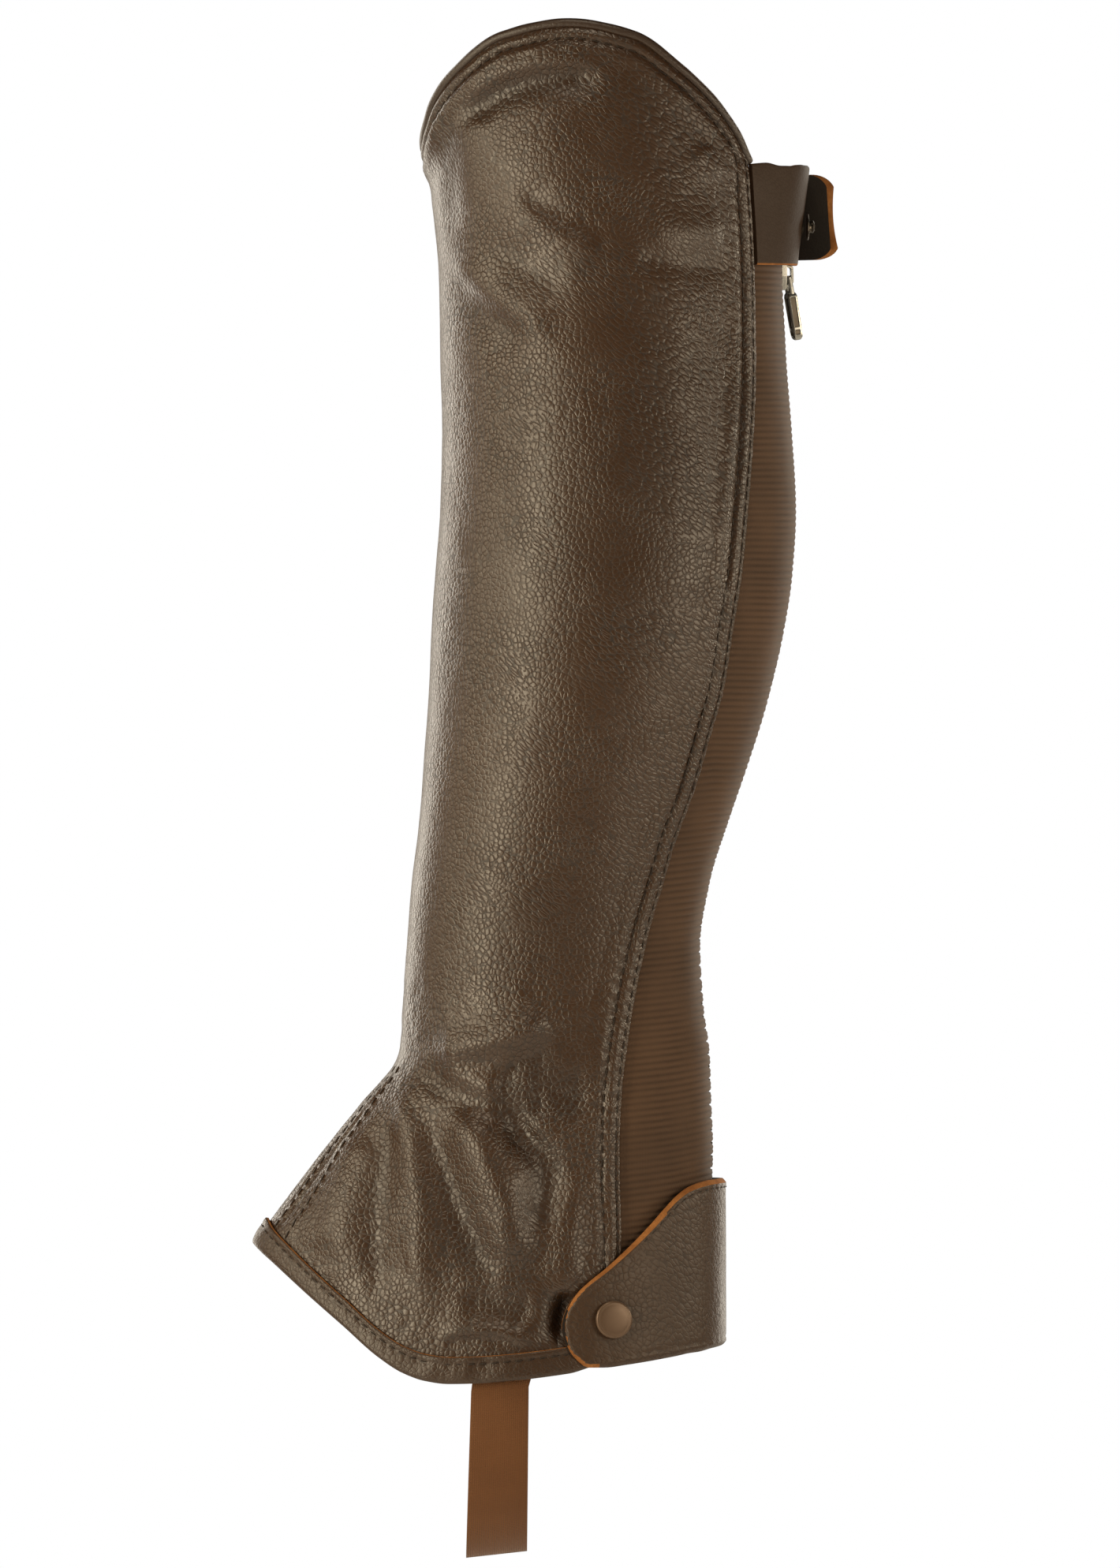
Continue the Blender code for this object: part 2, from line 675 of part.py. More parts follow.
def make_slider():
    """The zip's slider, with the bridge that the pull hangs from."""
    body = outline_block("zip_slider", SLIDER_OUTLINE, -1.1, 1.3, zip_metal(), bevel=0.5)
    origin, out, down, across = zip_frame()
    points = []
    for side in (-BRIDGE_WIDTH / 2, BRIDGE_WIDTH / 2):
        points += [list(origin + across * side + down * d + out * n) for d, n in BRIDGE + BRIDGE_HOLE]
    count = len(BRIDGE + BRIDGE_HOLE)
    faces = [tuple(range(count))[::-1], tuple(range(count, 2 * count))]
    faces += [(k, (k + 1) % count, count + (k + 1) % count, count + k) for k in range(count)]
    bridge = add_mesh("zip_bridge_cutter", points, faces, zip_metal())
    bridge.hide_render = True
    bridge.display_type = "WIRE"
    join = body.modifiers.new("bridge", "BOOLEAN")
    join.operation = "UNION"
    join.object = bridge
    return body


def make_pull():
    """The pull on the slider's bridge. Its own origin is on the hinge."""
    origin, out, down, across = zip_frame()
    bar = origin + down * PULL_BAR[0] + out * PULL_BAR[1]
    lean = math.radians(PULL_LEAN)
    hang = down * math.cos(lean) + out * math.sin(lean)
    front = out * math.cos(lean) - down * math.sin(lean)
    corners = []
    for turn in np.radians(np.arange(0, 360, 30) + 15):
        corners.append((np.sign(math.cos(turn)) * abs(math.cos(turn)) ** 0.35, np.sign(math.sin(turn)) * abs(math.sin(turn)) ** 0.5))
    points = []
    for distance, half_width, half_thick in PULL_SECTIONS:
        points += [list(hang * distance + across * a * half_width + front * b * half_thick) for a, b in corners]
    ids = np.arange(len(points)).reshape(len(PULL_SECTIONS), -1)
    faces = grid_faces(np.concatenate([ids, ids[:, :1]], 1))
    faces += [tuple(ids[0][::-1]), tuple(ids[-1])]
    made = add_mesh("zip_pull", points, [tuple(int(i) for i in face) for face in faces], zip_metal())
    near, far, half = PULL_WINDOW
    box = [list(hang * d + across * a + front * n) for d in (near, far) for a in (-half, half) for n in (-3.0, 3.0)]
    sides = [(0, 1, 3, 2), (4, 6, 7, 5), (0, 4, 5, 1), (2, 3, 7, 6), (0, 2, 6, 4), (1, 5, 7, 3)]
    window = add_mesh("zip_pull_window", box, sides, zip_metal())
    cut = made.modifiers.new("window", "BOOLEAN")
    cut.operation = "DIFFERENCE"
    cut.object = window
    for thing in (made, window):
        thing.location = [value * MM for value in bar]
    window.hide_render = True
    window.display_type = "WIRE"
    return made


def top_tab_stand(share, height):
    """How far the outer tab stands off the leg, from its seam to its free end."""
    most = 5.6 + 2.0 * (height - TOP_TAB_BOTTOM) / (TOP_TAB_TOP - TOP_TAB_BOTTOM)
    return most * np.sin(np.clip(share / 0.74, 0, 1) * math.pi / 2) ** 1.5


def make_top_tab():
    """The leather tab that runs from the gusset's seam round the back, clear of the zip."""
    across = np.linspace(0, 1, 12)
    heights = np.linspace(TOP_TAB_TOP, TOP_TAB_BOTTOM, 5)[:, None] + 0 * across
    first = seam_angle(heights) + EDGE_GAP / 45.0
    last = angle_past_back(TOP_TAB_END, heights)
    angles = first + (last - first) * across
    stand = top_tab_stand(across, heights)[..., None]
    outer = skin(angles, heights) + outward(angles, heights) * (1.2 + stand)
    inner = skin(angles, heights) + outward(angles, heights) * (stand - 0.5)
    return wall("top_tab_outer", outer, inner, brown_leather())


def open_tab_stand(share, height):
    """How far the open tab stands off the leg, from its sewn end to its free end."""
    most = 15.6 + 2.0 * (OPEN_TAB_TOP - height) / (OPEN_TAB_TOP - OPEN_TAB_BOTTOM)
    return most * np.clip((share - 0.3) / 0.7, 0, 1) ** 1.7


def open_tab_angle(share, height):
    first = angle_past_back(38.0, height)
    last = angle_past_back(9.0, height)
    return first + (last - first) * share


def make_open_tab():
    """The tab sewn on the inner side, standing open behind the zip."""
    across = np.linspace(0, 1, 12)
    rounding = 4.5 * np.clip((across - 0.8) / 0.2, 0, 1) ** 3
    levels = np.linspace(0, 1, 5)[:, None]
    heights = (OPEN_TAB_TOP - rounding) * (1 - levels) + (OPEN_TAB_BOTTOM + rounding) * levels
    angles = open_tab_angle(across, heights)
    stand = open_tab_stand(across, heights)[..., None]
    outer = skin(angles, heights) + outward(angles, heights) * (SEAM_GAP + LEATHER + stand)
    inner = skin(angles, heights) + outward(angles, heights) * (SEAM_GAP + stand)
    return wall("top_tab_inner", outer, inner, brown_leather())


def open_tab_place(share, height, out):
    """A point beside the open tab and the way that its outer face looks."""
    def at(part):
        angle = open_tab_angle(part, height)
        return skin(angle, height) + outward(angle, np.float64(height)) * (out + open_tab_stand(part, height))

    along = unit(at(share + 0.02) - at(share - 0.02))
    return at(share), unit(np.cross([0.0, 0.0, 1.0], along))


def make_heel_tab():
    """The tab sewn on the inner side that wraps the heel and snaps on the outer side."""
    rows = np.array(HEEL_TAB)
    middle = (rows[:, 1] + rows[:, 2]) / 2
    angles = list(angle_at_x(rows[:, 0], middle, HEEL_TAB_OUT))
    tops, bottoms = list(rows[:, 1]), list(rows[:, 2])
    for past in (0.0, 4.5, 9.0, 13.5, 18.0, 22.0, 26.0, 29.5, 32.5, 35.5, HEEL_TAB_INNER_REACH):
        angles.append(float(angle_past_back(past, -265.0)))
        tops.append(HEEL_TAB_TOP)
        bottoms.append(HEEL_TAB_BOTTOM - past * 0.05)
    levels = np.linspace(0, 1, 6)[:, None]
    heights = np.array(tops) * (1 - levels) + np.array(bottoms) * levels
    angles = np.array(angles) + 0 * levels
    outer, inner = cloth(angles, heights, HEEL_TAB_OUT), cloth(angles, heights, HEEL_TAB_OUT - LEATHER)
    return wall("heel_tab", outer, inner, brown_leather())


CAP_PROFILE = ((0.0, 0.0), (5.6, 0.0), (6.5, 0.4), (SNAP_RADIUS, 1.0), (6.4, 1.7), (5.4, 2.1), (3.0, 2.3), (0.0, 2.35))
SOCKET_PROFILE = ((0.0, 0.0), (4.6, 0.0), (4.9, 0.5), (4.6, 1.3), (3.2, 1.5), (2.4, 1.0), (0.0, 0.9))
STUD_PROFILE = ((0.0, 0.0), (4.6, 0.0), (4.9, 0.4), (4.4, 0.8), (2.3, 1.0), (2.1, 1.6), (2.3, 2.3), (1.6, 2.8), (0.0, 2.9))


def make_snaps():
    """The heel's snap cap, and the open top snap's cap, socket and stud."""
    height = np.float64(-286.0)
    angle = angle_at_x(-1.1, height, HEEL_TAB_OUT)
    out = outward(angle, height)
    place = skin(angle, height) + out * (HEEL_TAB_OUT + SEAM_GAP)
    turned("heel_snap_cap", CAP_PROFILE, place, out, snap_enamel(), sides=28)

    height = np.float64(TOP_SNAP_HEIGHT)
    share = 0.72
    place, out = open_tab_place(share, height, SEAM_GAP + LEATHER)
    turned("top_snap_cap", CAP_PROFILE, place + out * (SEAM_GAP + 0.2), out, snap_enamel(), sides=24)
    place, out = open_tab_place(share, height, SEAM_GAP)
    turned("top_snap_socket", SOCKET_PROFILE, place - out * (SEAM_GAP + 0.2), -out, zip_metal())
    angle = angle_past_back(1.0, height)
    out = outward(angle, height)
    share = (angle - seam_angle(height)) / (angle_past_back(TOP_TAB_END, height) - seam_angle(height))
    place = skin(angle, height) + out * (1.2 + top_tab_stand(share, height) + SEAM_GAP + 0.1)
    turned("top_snap_stud", STUD_PROFILE, place, out, zip_metal())


def make_foot_strap():
    """The elastic loop that passes under the boot, sewn inside the hem on both sides."""
    widths = np.linspace(-0.5, 0.5, 5)
    sewn = np.linspace(0, 1, 4)[:-1]
    turns = np.linspace(0, math.pi, 25)
    outer, inner = [], []
    for side in (1, -1):
        rows_out, rows_in = [], []
        for share in sewn:
            x = STRAP_MIDDLE + widths * STRAP_WIDTH * 0.97
            height = HEM_HEIGHT(x) + STRAP_SEWN * (1 - share)
            widest, front = SECTION["widest"](height), SECTION["front"](height)
            ahead = np.clip((widest - x) / (widest - front), 0, 1) ** (SECTION["front_power"](height) / 2)
            behind = np.clip((x - widest) / (SECTION["back"](height) - widest), 0, 1)
            angle = side * np.where(x < widest, np.arccos(ahead), math.pi / 2 + np.arcsin(behind))
            rows_out.append(cloth(angle, height, -LEATHER - SEAM_GAP))
            rows_in.append(cloth(angle, height, -LEATHER - SEAM_GAP - STRAP_THICK))
        outer.append(rows_out)
        inner.append(rows_in)
    start_out, start_in = outer[0][-1], inner[0][-1]
    end_out, end_in = outer[1][-1], inner[1][-1]

    def loop(start, end, thin):
        """Half a round from the outer side's hem to the inner side's, shallower inside."""
        rows = []
        for turn in turns:
            share = (1 - math.cos(turn)) / 2
            drop = math.sin(turn) ** 0.9
            x = STRAP_MIDDLE + widths * STRAP_WIDTH * (0.97 + 0.06 * drop) - 1.2 * drop
            y = start[:, 1] * (1 - share) + end[:, 1] * share
            hem = start[:, 2] * (1 - share) + end[:, 2] * share
            lowest = STRAP_LOWEST + thin + 2.4 * (widths + 0.5)
            z = hem - 4.0 + (lowest - hem + 4.0) * drop
            rows.append(np.stack([x, y, z], -1))
        return rows

    all_out = outer[0] + loop(start_out, end_out, 0.0) + outer[1][::-1]
    all_in = inner[0] + loop(start_in, end_in, STRAP_THICK) + inner[1][::-1]
    return wall("foot_strap", np.array(all_out), np.array(all_in), tan_elastic())


def main():
    for thing in list(bpy.data.objects):
        bpy.data.objects.remove(thing)
    make_leather_upper()
    make_hem_binding()
    make_rim_piping()
    make_elastic_gusset()
    make_zip()
    make_slider()
    make_pull()
    make_top_tab()
    make_open_tab()
    make_heel_tab()
    make_snaps()
    make_foot_strap()


main()
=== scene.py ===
# A left leather half chap with a ribbed elastic gusset, a back zip, two tabs and a foot strap.
# It stays on the shape of the leg. -X is the toe, +X the heel, -Y the outer side, +Z up.
# Lengths are in millimetres until a mesh is made. An angle round the leg is 0 at the shin,
# positive on the outer side and 180 degrees at the back.

import math

import bmesh
import bpy
import numpy as np
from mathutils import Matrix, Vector, noise
from mathutils.kdtree import KDTree


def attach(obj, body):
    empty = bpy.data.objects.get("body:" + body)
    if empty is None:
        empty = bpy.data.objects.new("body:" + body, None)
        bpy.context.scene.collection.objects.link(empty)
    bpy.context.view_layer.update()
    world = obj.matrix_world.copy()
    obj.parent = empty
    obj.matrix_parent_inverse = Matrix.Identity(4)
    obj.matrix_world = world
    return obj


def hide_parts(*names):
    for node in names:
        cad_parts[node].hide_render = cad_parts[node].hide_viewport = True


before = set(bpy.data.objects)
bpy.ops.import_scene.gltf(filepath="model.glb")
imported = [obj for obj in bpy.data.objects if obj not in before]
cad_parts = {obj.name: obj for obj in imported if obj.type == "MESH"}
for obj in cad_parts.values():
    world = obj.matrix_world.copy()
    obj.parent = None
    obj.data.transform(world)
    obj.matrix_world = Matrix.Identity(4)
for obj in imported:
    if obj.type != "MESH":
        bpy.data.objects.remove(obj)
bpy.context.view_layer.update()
print("frame loaded:", len(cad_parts), "nodes")

mm = 0.001

# The leather's plain round at each height: how far its front and back reach, where it is widest,
# half its width there, and the powers of its two arcs
leg = {
    "columns": ("height", "front", "back", "widest", "halfWidth", "frontPower", "backPower"),
    "rounds": (
        (180.0, -71.0, 58.0, -6.5, 52.0, 2.00, 2.0),
        (154.0, -70.9, 58.2, -6.3, 53.0, 2.00, 2.0),
        (131.0, -70.0, 58.6, -5.7, 54.0, 2.00, 2.0),
        (118.0, -67.6, 59.0, -4.4, 54.5, 2.00, 2.0),
        (102.0, -65.3, 58.9, -3.0, 55.0, 2.00, 2.0),
        (84.0, -63.7, 59.2, -2.0, 55.3, 2.00, 2.0),
        (56.0, -63.2, 60.5, -1.2, 56.0, 2.00, 2.0),
        (28.0, -62.5, 62.6, 0.0, 56.8, 2.00, 2.0),
        (0.0, -63.4, 64.1, 0.2, 57.0, 2.00, 2.0),
        (-22.0, -65.0, 62.8, -1.3, 56.5, 2.00, 2.0),
        (-44.0, -66.5, 59.4, -3.6, 55.0, 2.00, 2.0),
        (-66.0, -67.4, 54.2, -6.6, 53.0, 2.00, 2.0),
        (-88.0, -69.0, 47.4, -10.8, 50.3, 2.00, 2.0),
        (-110.0, -70.7, 40.0, -15.4, 47.2, 2.00, 2.0),
        (-132.0, -73.4, 33.2, -20.2, 44.2, 1.98, 2.05),
        (-154.0, -75.1, 29.9, -23.2, 42.0, 1.96, 2.10),
        (-176.0, -76.5, 31.0, -24.6, 41.0, 1.94, 2.10),
        (-190.0, -77.6, 33.0, -26.0, 41.0, 1.88, 2.10),
        (-196.0, -79.6, 33.4, -27.0, 41.1, 1.82, 2.10),
        (-210.0, -91.0, 33.8, -30.0, 41.5, 1.66, 2.15),
        (-226.8, -104.5, 34.4, -33.0, 42.2, 1.55, 2.20),
        (-243.6, -117.2, 33.9, -36.0, 43.0, 1.50, 2.20),
        (-257.6, -127.6, 33.9, -36.0, 43.6, 1.48, 2.20),
        (-283.0, -133.0, 34.0, -36.0, 44.6, 1.48, 2.20),
        (-330.0, -137.0, 34.0, -36.0, 46.0, 1.48, 2.20),
    ),
    # angle in degrees, height
    "rim": (
        (-180.0, 120.5), (-120.0, 119.5), (-60.0, 120.5), (-25.0, 124.0), (0.0, 128.5), (14.0, 136.5),
        (23.0, 144.5), (39.0, 156.0), (58.0, 167.2), (80.0, 171.4), (100.0, 167.2), (115.0, 156.0),
        (127.0, 145.0), (137.0, 133.5), (146.0, 121.0), (180.0, 120.5),
    ),
    # distance along the foot, height
    "hem": (
        (-129.0, -259.0), (-126.6, -261.8), (-122.0, -266.0), (-110.0, -277.0), (-97.0, -288.4),
        (-85.0, -299.0), (-76.0, -304.8), (-68.0, -307.6), (-59.9, -308.6), (-17.9, -304.9),
        (-8.0, -302.0), (19.9, -297.6), (34.2, -294.0),
    ),
    # height, distance along the foot
    "gussetSeam": (
        (124.0, 45.9), (87.0, 47.9), (50.0, 48.4), (22.0, 47.3), (0.0, 45.6), (-20.0, 43.8), (-42.0, 40.4),
        (-63.0, 37.0), (-77.0, 33.0), (-98.0, 26.9), (-118.0, 19.6), (-129.0, 16.5), (-149.0, 10.7),
        (-170.0, 6.1), (-191.0, 2.8), (-206.0, 1.1), (-227.0, 0.3), (-255.0, 0.9), (-300.0, 1.7),
    ),
    "zipPath": ((-310.0, 0.0), (-160.0, 0.0), (-60.0, 1.0), (50.0, 4.5), (90.0, 5.0)),
    "shinShare": 0.455,
    "chainFrom": 4.3,
    "chainTo": 9.7,
    "leatherEdge": 14.0,
    "ankleBend": -194.0,
    # turns a few millimetres beside the gusset into an angle
    "backRadius": 45.0,
    # where the zip ends at the hem, along the foot
    "zipFoot": 33.0,
}


def smoothCurve(rows):
    # through (x, y) rows in rising x, and never past them
    rows = np.array(sorted(rows), float)
    xs, ys = rows[:, 0], rows[:, 1]
    step = np.diff(xs)
    slope = np.diff(ys) / step
    before, after = slope[:-1], slope[1:]
    turning = before * after <= 0
    safeBefore = np.where(turning, 1.0, before)
    safeAfter = np.where(turning, 1.0, after)
    near, far = 2 * step[1:] + step[:-1], step[1:] + 2 * step[:-1]
    inner = np.where(turning, 0.0, (near + far) / (near / safeBefore + far / safeAfter))
    tangent = np.concatenate([slope[:1], inner, slope[-1:]])

    def at(x):
        x = np.clip(x, xs[0], xs[-1])
        i = np.clip(np.searchsorted(xs, x) - 1, 0, len(step) - 1)
        u = (x - xs[i]) / step[i]
        rise = ys[i + 1] - ys[i]
        start, end = tangent[i] * step[i], tangent[i + 1] * step[i]
        return ys[i] + start * u + (3 * rise - 2 * start - end) * u**2 + (start + end - 2 * rise) * u**3

    return at


legSize = {
    name: smoothCurve([(row[0], row[i + 1]) for row in leg["rounds"]])
    for i, name in enumerate(leg["columns"][1:])
}
rimHeight = smoothCurve(leg["rim"])
hemHeight = smoothCurve(leg["hem"])
seamX = smoothCurve(leg["gussetSeam"])
zipMoved = smoothCurve(leg["zipPath"])


def unit(vectors):
    return vectors / np.maximum(np.linalg.norm(vectors, axis=-1, keepdims=True), 1e-9)


def bell(value, middle, width):
    return np.exp(-(((value - middle) / width) ** 2))


def skin(angle, height):
    # the leather's outer face before its creases
    angle, height = np.broadcast_arrays(np.asarray(angle, float), np.asarray(height, float))
    size = {name: curve(height) for name, curve in legSize.items()}
    ahead = np.cos(angle) >= 0
    power = 2 / np.where(ahead, size["frontPower"], size["backPower"])
    reach = np.where(ahead, size["front"], size["back"]) - size["widest"]
    x = size["widest"] + reach * np.abs(np.cos(angle)) ** power
    y = -np.sign(np.sin(angle)) * size["halfWidth"] * np.abs(np.sin(angle)) ** power
    return np.stack([x, y, height], -1)


def outward(angle, height):
    turn, lift = 0.02, 2.5
    across = skin(angle + turn, height) - skin(angle - turn, height)
    up = skin(angle, height + lift) - skin(angle, height - lift)
    return unit(np.cross(across, up))


def angleAtX(x, height, out=0.0):
    widest = legSize["widest"](height)
    reach = legSize["back"](height) + out - widest
    share = np.clip((x - widest) / reach, 0, 1)
    return math.pi - np.arccos(share ** (legSize["backPower"](height) / 2))


def anglePastBack(y, height):
    share = np.abs(y) / legSize["halfWidth"](height)
    return math.pi + np.sign(y) * np.arcsin(share ** (legSize["backPower"](height) / 2))


def zipAngle(across, height):
    return anglePastBack(across + zipMoved(height), height)


def seamAngle(height):
    return angleAtX(seamX(height), height)


def leatherEdgeAngle(height):
    return zipAngle(leg["leatherEdge"], height) - 2 * math.pi


def evenAngles():
    heights = np.arange(-330.0, 181.0, 3.0)
    shares = np.linspace(0, 1, 201)
    table = []
    for height in heights:
        row = np.empty(shares.shape)
        for first, last, low, high in (
            (seamAngle(height), 0.0, 0.0, leg["shinShare"]),
            (0.0, leatherEdgeAngle(height), leg["shinShare"], 1.0),
        ):
            angles = np.linspace(first, last, 121)
            steps = np.linalg.norm(np.diff(skin(angles, height), axis=0), axis=1)
            walked = np.concatenate([[0], np.cumsum(steps)]) / steps.sum()
            part = (shares >= low) & (shares <= high)
            row[part] = np.interp((shares[part] - low) / (high - low), walked, angles)
        table.append(row)
    return heights, shares, np.array(table)


evenHeights, evenShares, evenTable = evenAngles()


def leatherAngle(share, height):
    share, height = np.broadcast_arrays(np.asarray(share, float), np.asarray(height, float))
    row = (height - evenHeights[0]) / (evenHeights[1] - evenHeights[0])
    col = share * (len(evenShares) - 1)
    i = np.clip(row.astype(int), 0, len(evenHeights) - 2)
    j = np.clip(col.astype(int), 0, len(evenShares) - 2)
    u, v = row - i, col - j
    low = evenTable[i, j] * (1 - v) + evenTable[i, j + 1] * v
    high = evenTable[i + 1, j] * (1 - v) + evenTable[i + 1, j + 1] * v
    return low * (1 - u) + high * u


def settle(height, goal):
    for _ in range(60):
        height = 0.5 * height + 0.5 * goal(height)
    return height


def rimAndHem(shares):
    top = settle(np.full(shares.shape, 140.0), lambda z: rimHeight(np.degrees(leatherAngle(shares, z))))
    foot = np.full(shares.shape, -290.0)
    bottom = settle(foot, lambda z: hemHeight(skin(leatherAngle(shares, z), z)[..., 0]))
    return top, bottom


def besideLine(angles, heights, distance):
    # the path that runs beside another on the leather: positive is to the left, seen from outside
    for _ in range(4):
        points = skin(angles, heights)
        away = unit(np.cross(outward(angles, heights), unit(np.gradient(points, axis=0)))) * distance / 4
        turn = (skin(angles + 0.01, heights) - skin(angles - 0.01, heights)) / 0.02
        lift = (skin(angles, heights + 1) - skin(angles, heights - 1)) / 2
        rest = away - lift * away[..., 2:]
        angles = angles + (rest * turn).sum(-1) / np.maximum((turn**2).sum(-1), 1e-6)
        heights = heights + away[..., 2]
    return angles, heights


# camera, light and floor
view = {
    "middle": (-20.7, 0.0, -96.3),
    "frameHeight": 556.6,
    "distance": 14000.0,
    "floor": -600.0,
    # name: azimuth from the camera, height, distance, width, tall, watts, whiteness
    "lamps": {
        "left": (-49.0, 0.0, 1.0, 0.20, 0.66, 5.8, (1.0, 0.87, 0.63)),
        "leftHigh": (-70.0, 0.42, 1.0, 0.24, 0.30, 2.3, (1.0, 0.87, 0.63)),
        "leftSide": (-88.0, 0.14, 1.0, 0.30, 0.40, 1.3, (1.0, 0.87, 0.63)),
        "right": (45.0, 0.02, 1.0, 0.30, 0.36, 2.6, (1.0, 0.86, 0.63)),
        "seamSide": (88.0, 0.15, 1.0, 0.12, 0.12, 1.1, (1.0, 0.88, 0.68)),
        "rightSide": (90.0, 0.10, 1.0, 0.40, 0.46, 2.3, (1.0, 0.86, 0.63)),
        "front": (-5.0, 0.0, 3.0, 2.0, 2.0, 1.0, (1.0, 0.86, 0.63)),
        "above": (-5.0, 1.5, 0.9, 0.6, 0.6, 7.5, (1.0, 0.86, 0.65)),
        "leftBack": (-140.0, 0.1, 1.8, 0.6, 1.8, 20.0, (1.0, 0.93, 0.80)),
        "rightBack": (150.0, 0.2, 1.9, 0.6, 1.6, 15.0, (1.0, 0.93, 0.80)),
    },
    "roomLight": 0.02,
}


def makeView():
    scene = bpy.context.scene
    scene.view_settings.view_transform = "Standard"
    middle = Vector(view["middle"]) * mm
    camera = bpy.data.cameras.new("photoCamera")
    camera.sensor_fit = "VERTICAL"
    camera.sensor_height = 36.0
    camera.lens = 36.0 * view["distance"] / view["frameHeight"]
    camera.clip_end = 60.0
    holder = bpy.data.objects.new("photoCamera", camera)
    holder.location = middle + Vector((0, -view["distance"] * mm, 0))
    holder.rotation_euler = (math.pi / 2, 0, 0)
    scene.collection.objects.link(holder)
    scene.camera = holder

    for name, (azimuth, height, distance, wide, tall, watts, white) in view["lamps"].items():
        lamp = bpy.data.lights.new(name + "Lamp", "AREA")
        lamp.shape = "RECTANGLE"
        lamp.size, lamp.size_y = wide, tall
        lamp.energy = watts
        lamp.color = white
        stand = bpy.data.objects.new(name + "Lamp", lamp)
        turn = math.radians(azimuth)
        stand.location = middle + Vector((math.sin(turn) * distance, -math.cos(turn) * distance, height))
        stand.rotation_euler = (stand.location - middle).to_track_quat("Z", "Y").to_euler()
        stand.visible_camera = False
        scene.collection.objects.link(stand)

    world = bpy.data.worlds.new("whiteRoom")
    world.use_nodes = True
    nodes, links = world.node_tree.nodes, world.node_tree.links
    nodes.clear()
    seen, room = nodes.new("ShaderNodeBackground"), nodes.new("ShaderNodeBackground")
    seen.inputs["Strength"].default_value = 1.0
    seen.inputs["Color"].default_value = (1, 1, 1, 1)
    room.inputs["Strength"].default_value = view["roomLight"]
    room.inputs["Color"].default_value = (1, 1, 1, 1)
    path, mix = nodes.new("ShaderNodeLightPath"), nodes.new("ShaderNodeMixShader")
    out = nodes.new("ShaderNodeOutputWorld")
    links.new(path.outputs["Is Camera Ray"], mix.inputs[0])
    links.new(room.outputs[0], mix.inputs[1])
    links.new(seen.outputs[0], mix.inputs[2])
    links.new(mix.outputs[0], out.inputs[0])
    scene.world = world

    half, low = 5.0, view["floor"] * mm
    floorMesh = bpy.data.meshes.new("studioFloor")
    corners = [(-half, -half, low), (half, -half, low), (half, half, low), (-half, half, low)]
    floorMesh.from_pydata(corners, [], [(0, 1, 2, 3)])
    floor = bpy.data.objects.new("studioFloor", floorMesh)
    scene.collection.objects.link(floor)
    paint = bpy.data.materials.new("floorPaint")
    paint.use_nodes = True
    shader = paint.node_tree.nodes["Principled BSDF"]
    shader.inputs["Base Color"].default_value = (0.92, 0.92, 0.92, 1)
    shader.inputs["Roughness"].default_value = 0.9
    floorMesh.materials.append(paint)


makeView()
print("camera, lamps and floor placed")


def toned(red, green, blue):
    # screen values 0 to 255 as the light that a shader takes
    light = [((v / 255 + 0.055) / 1.055) ** 2.4 if v > 10 else v / 255 / 12.92 for v in (red, green, blue)]
    return tuple(light) + (1.0,)


def shaded(tone, share):
    return tuple(c * share for c in tone[:3]) + (1.0,)


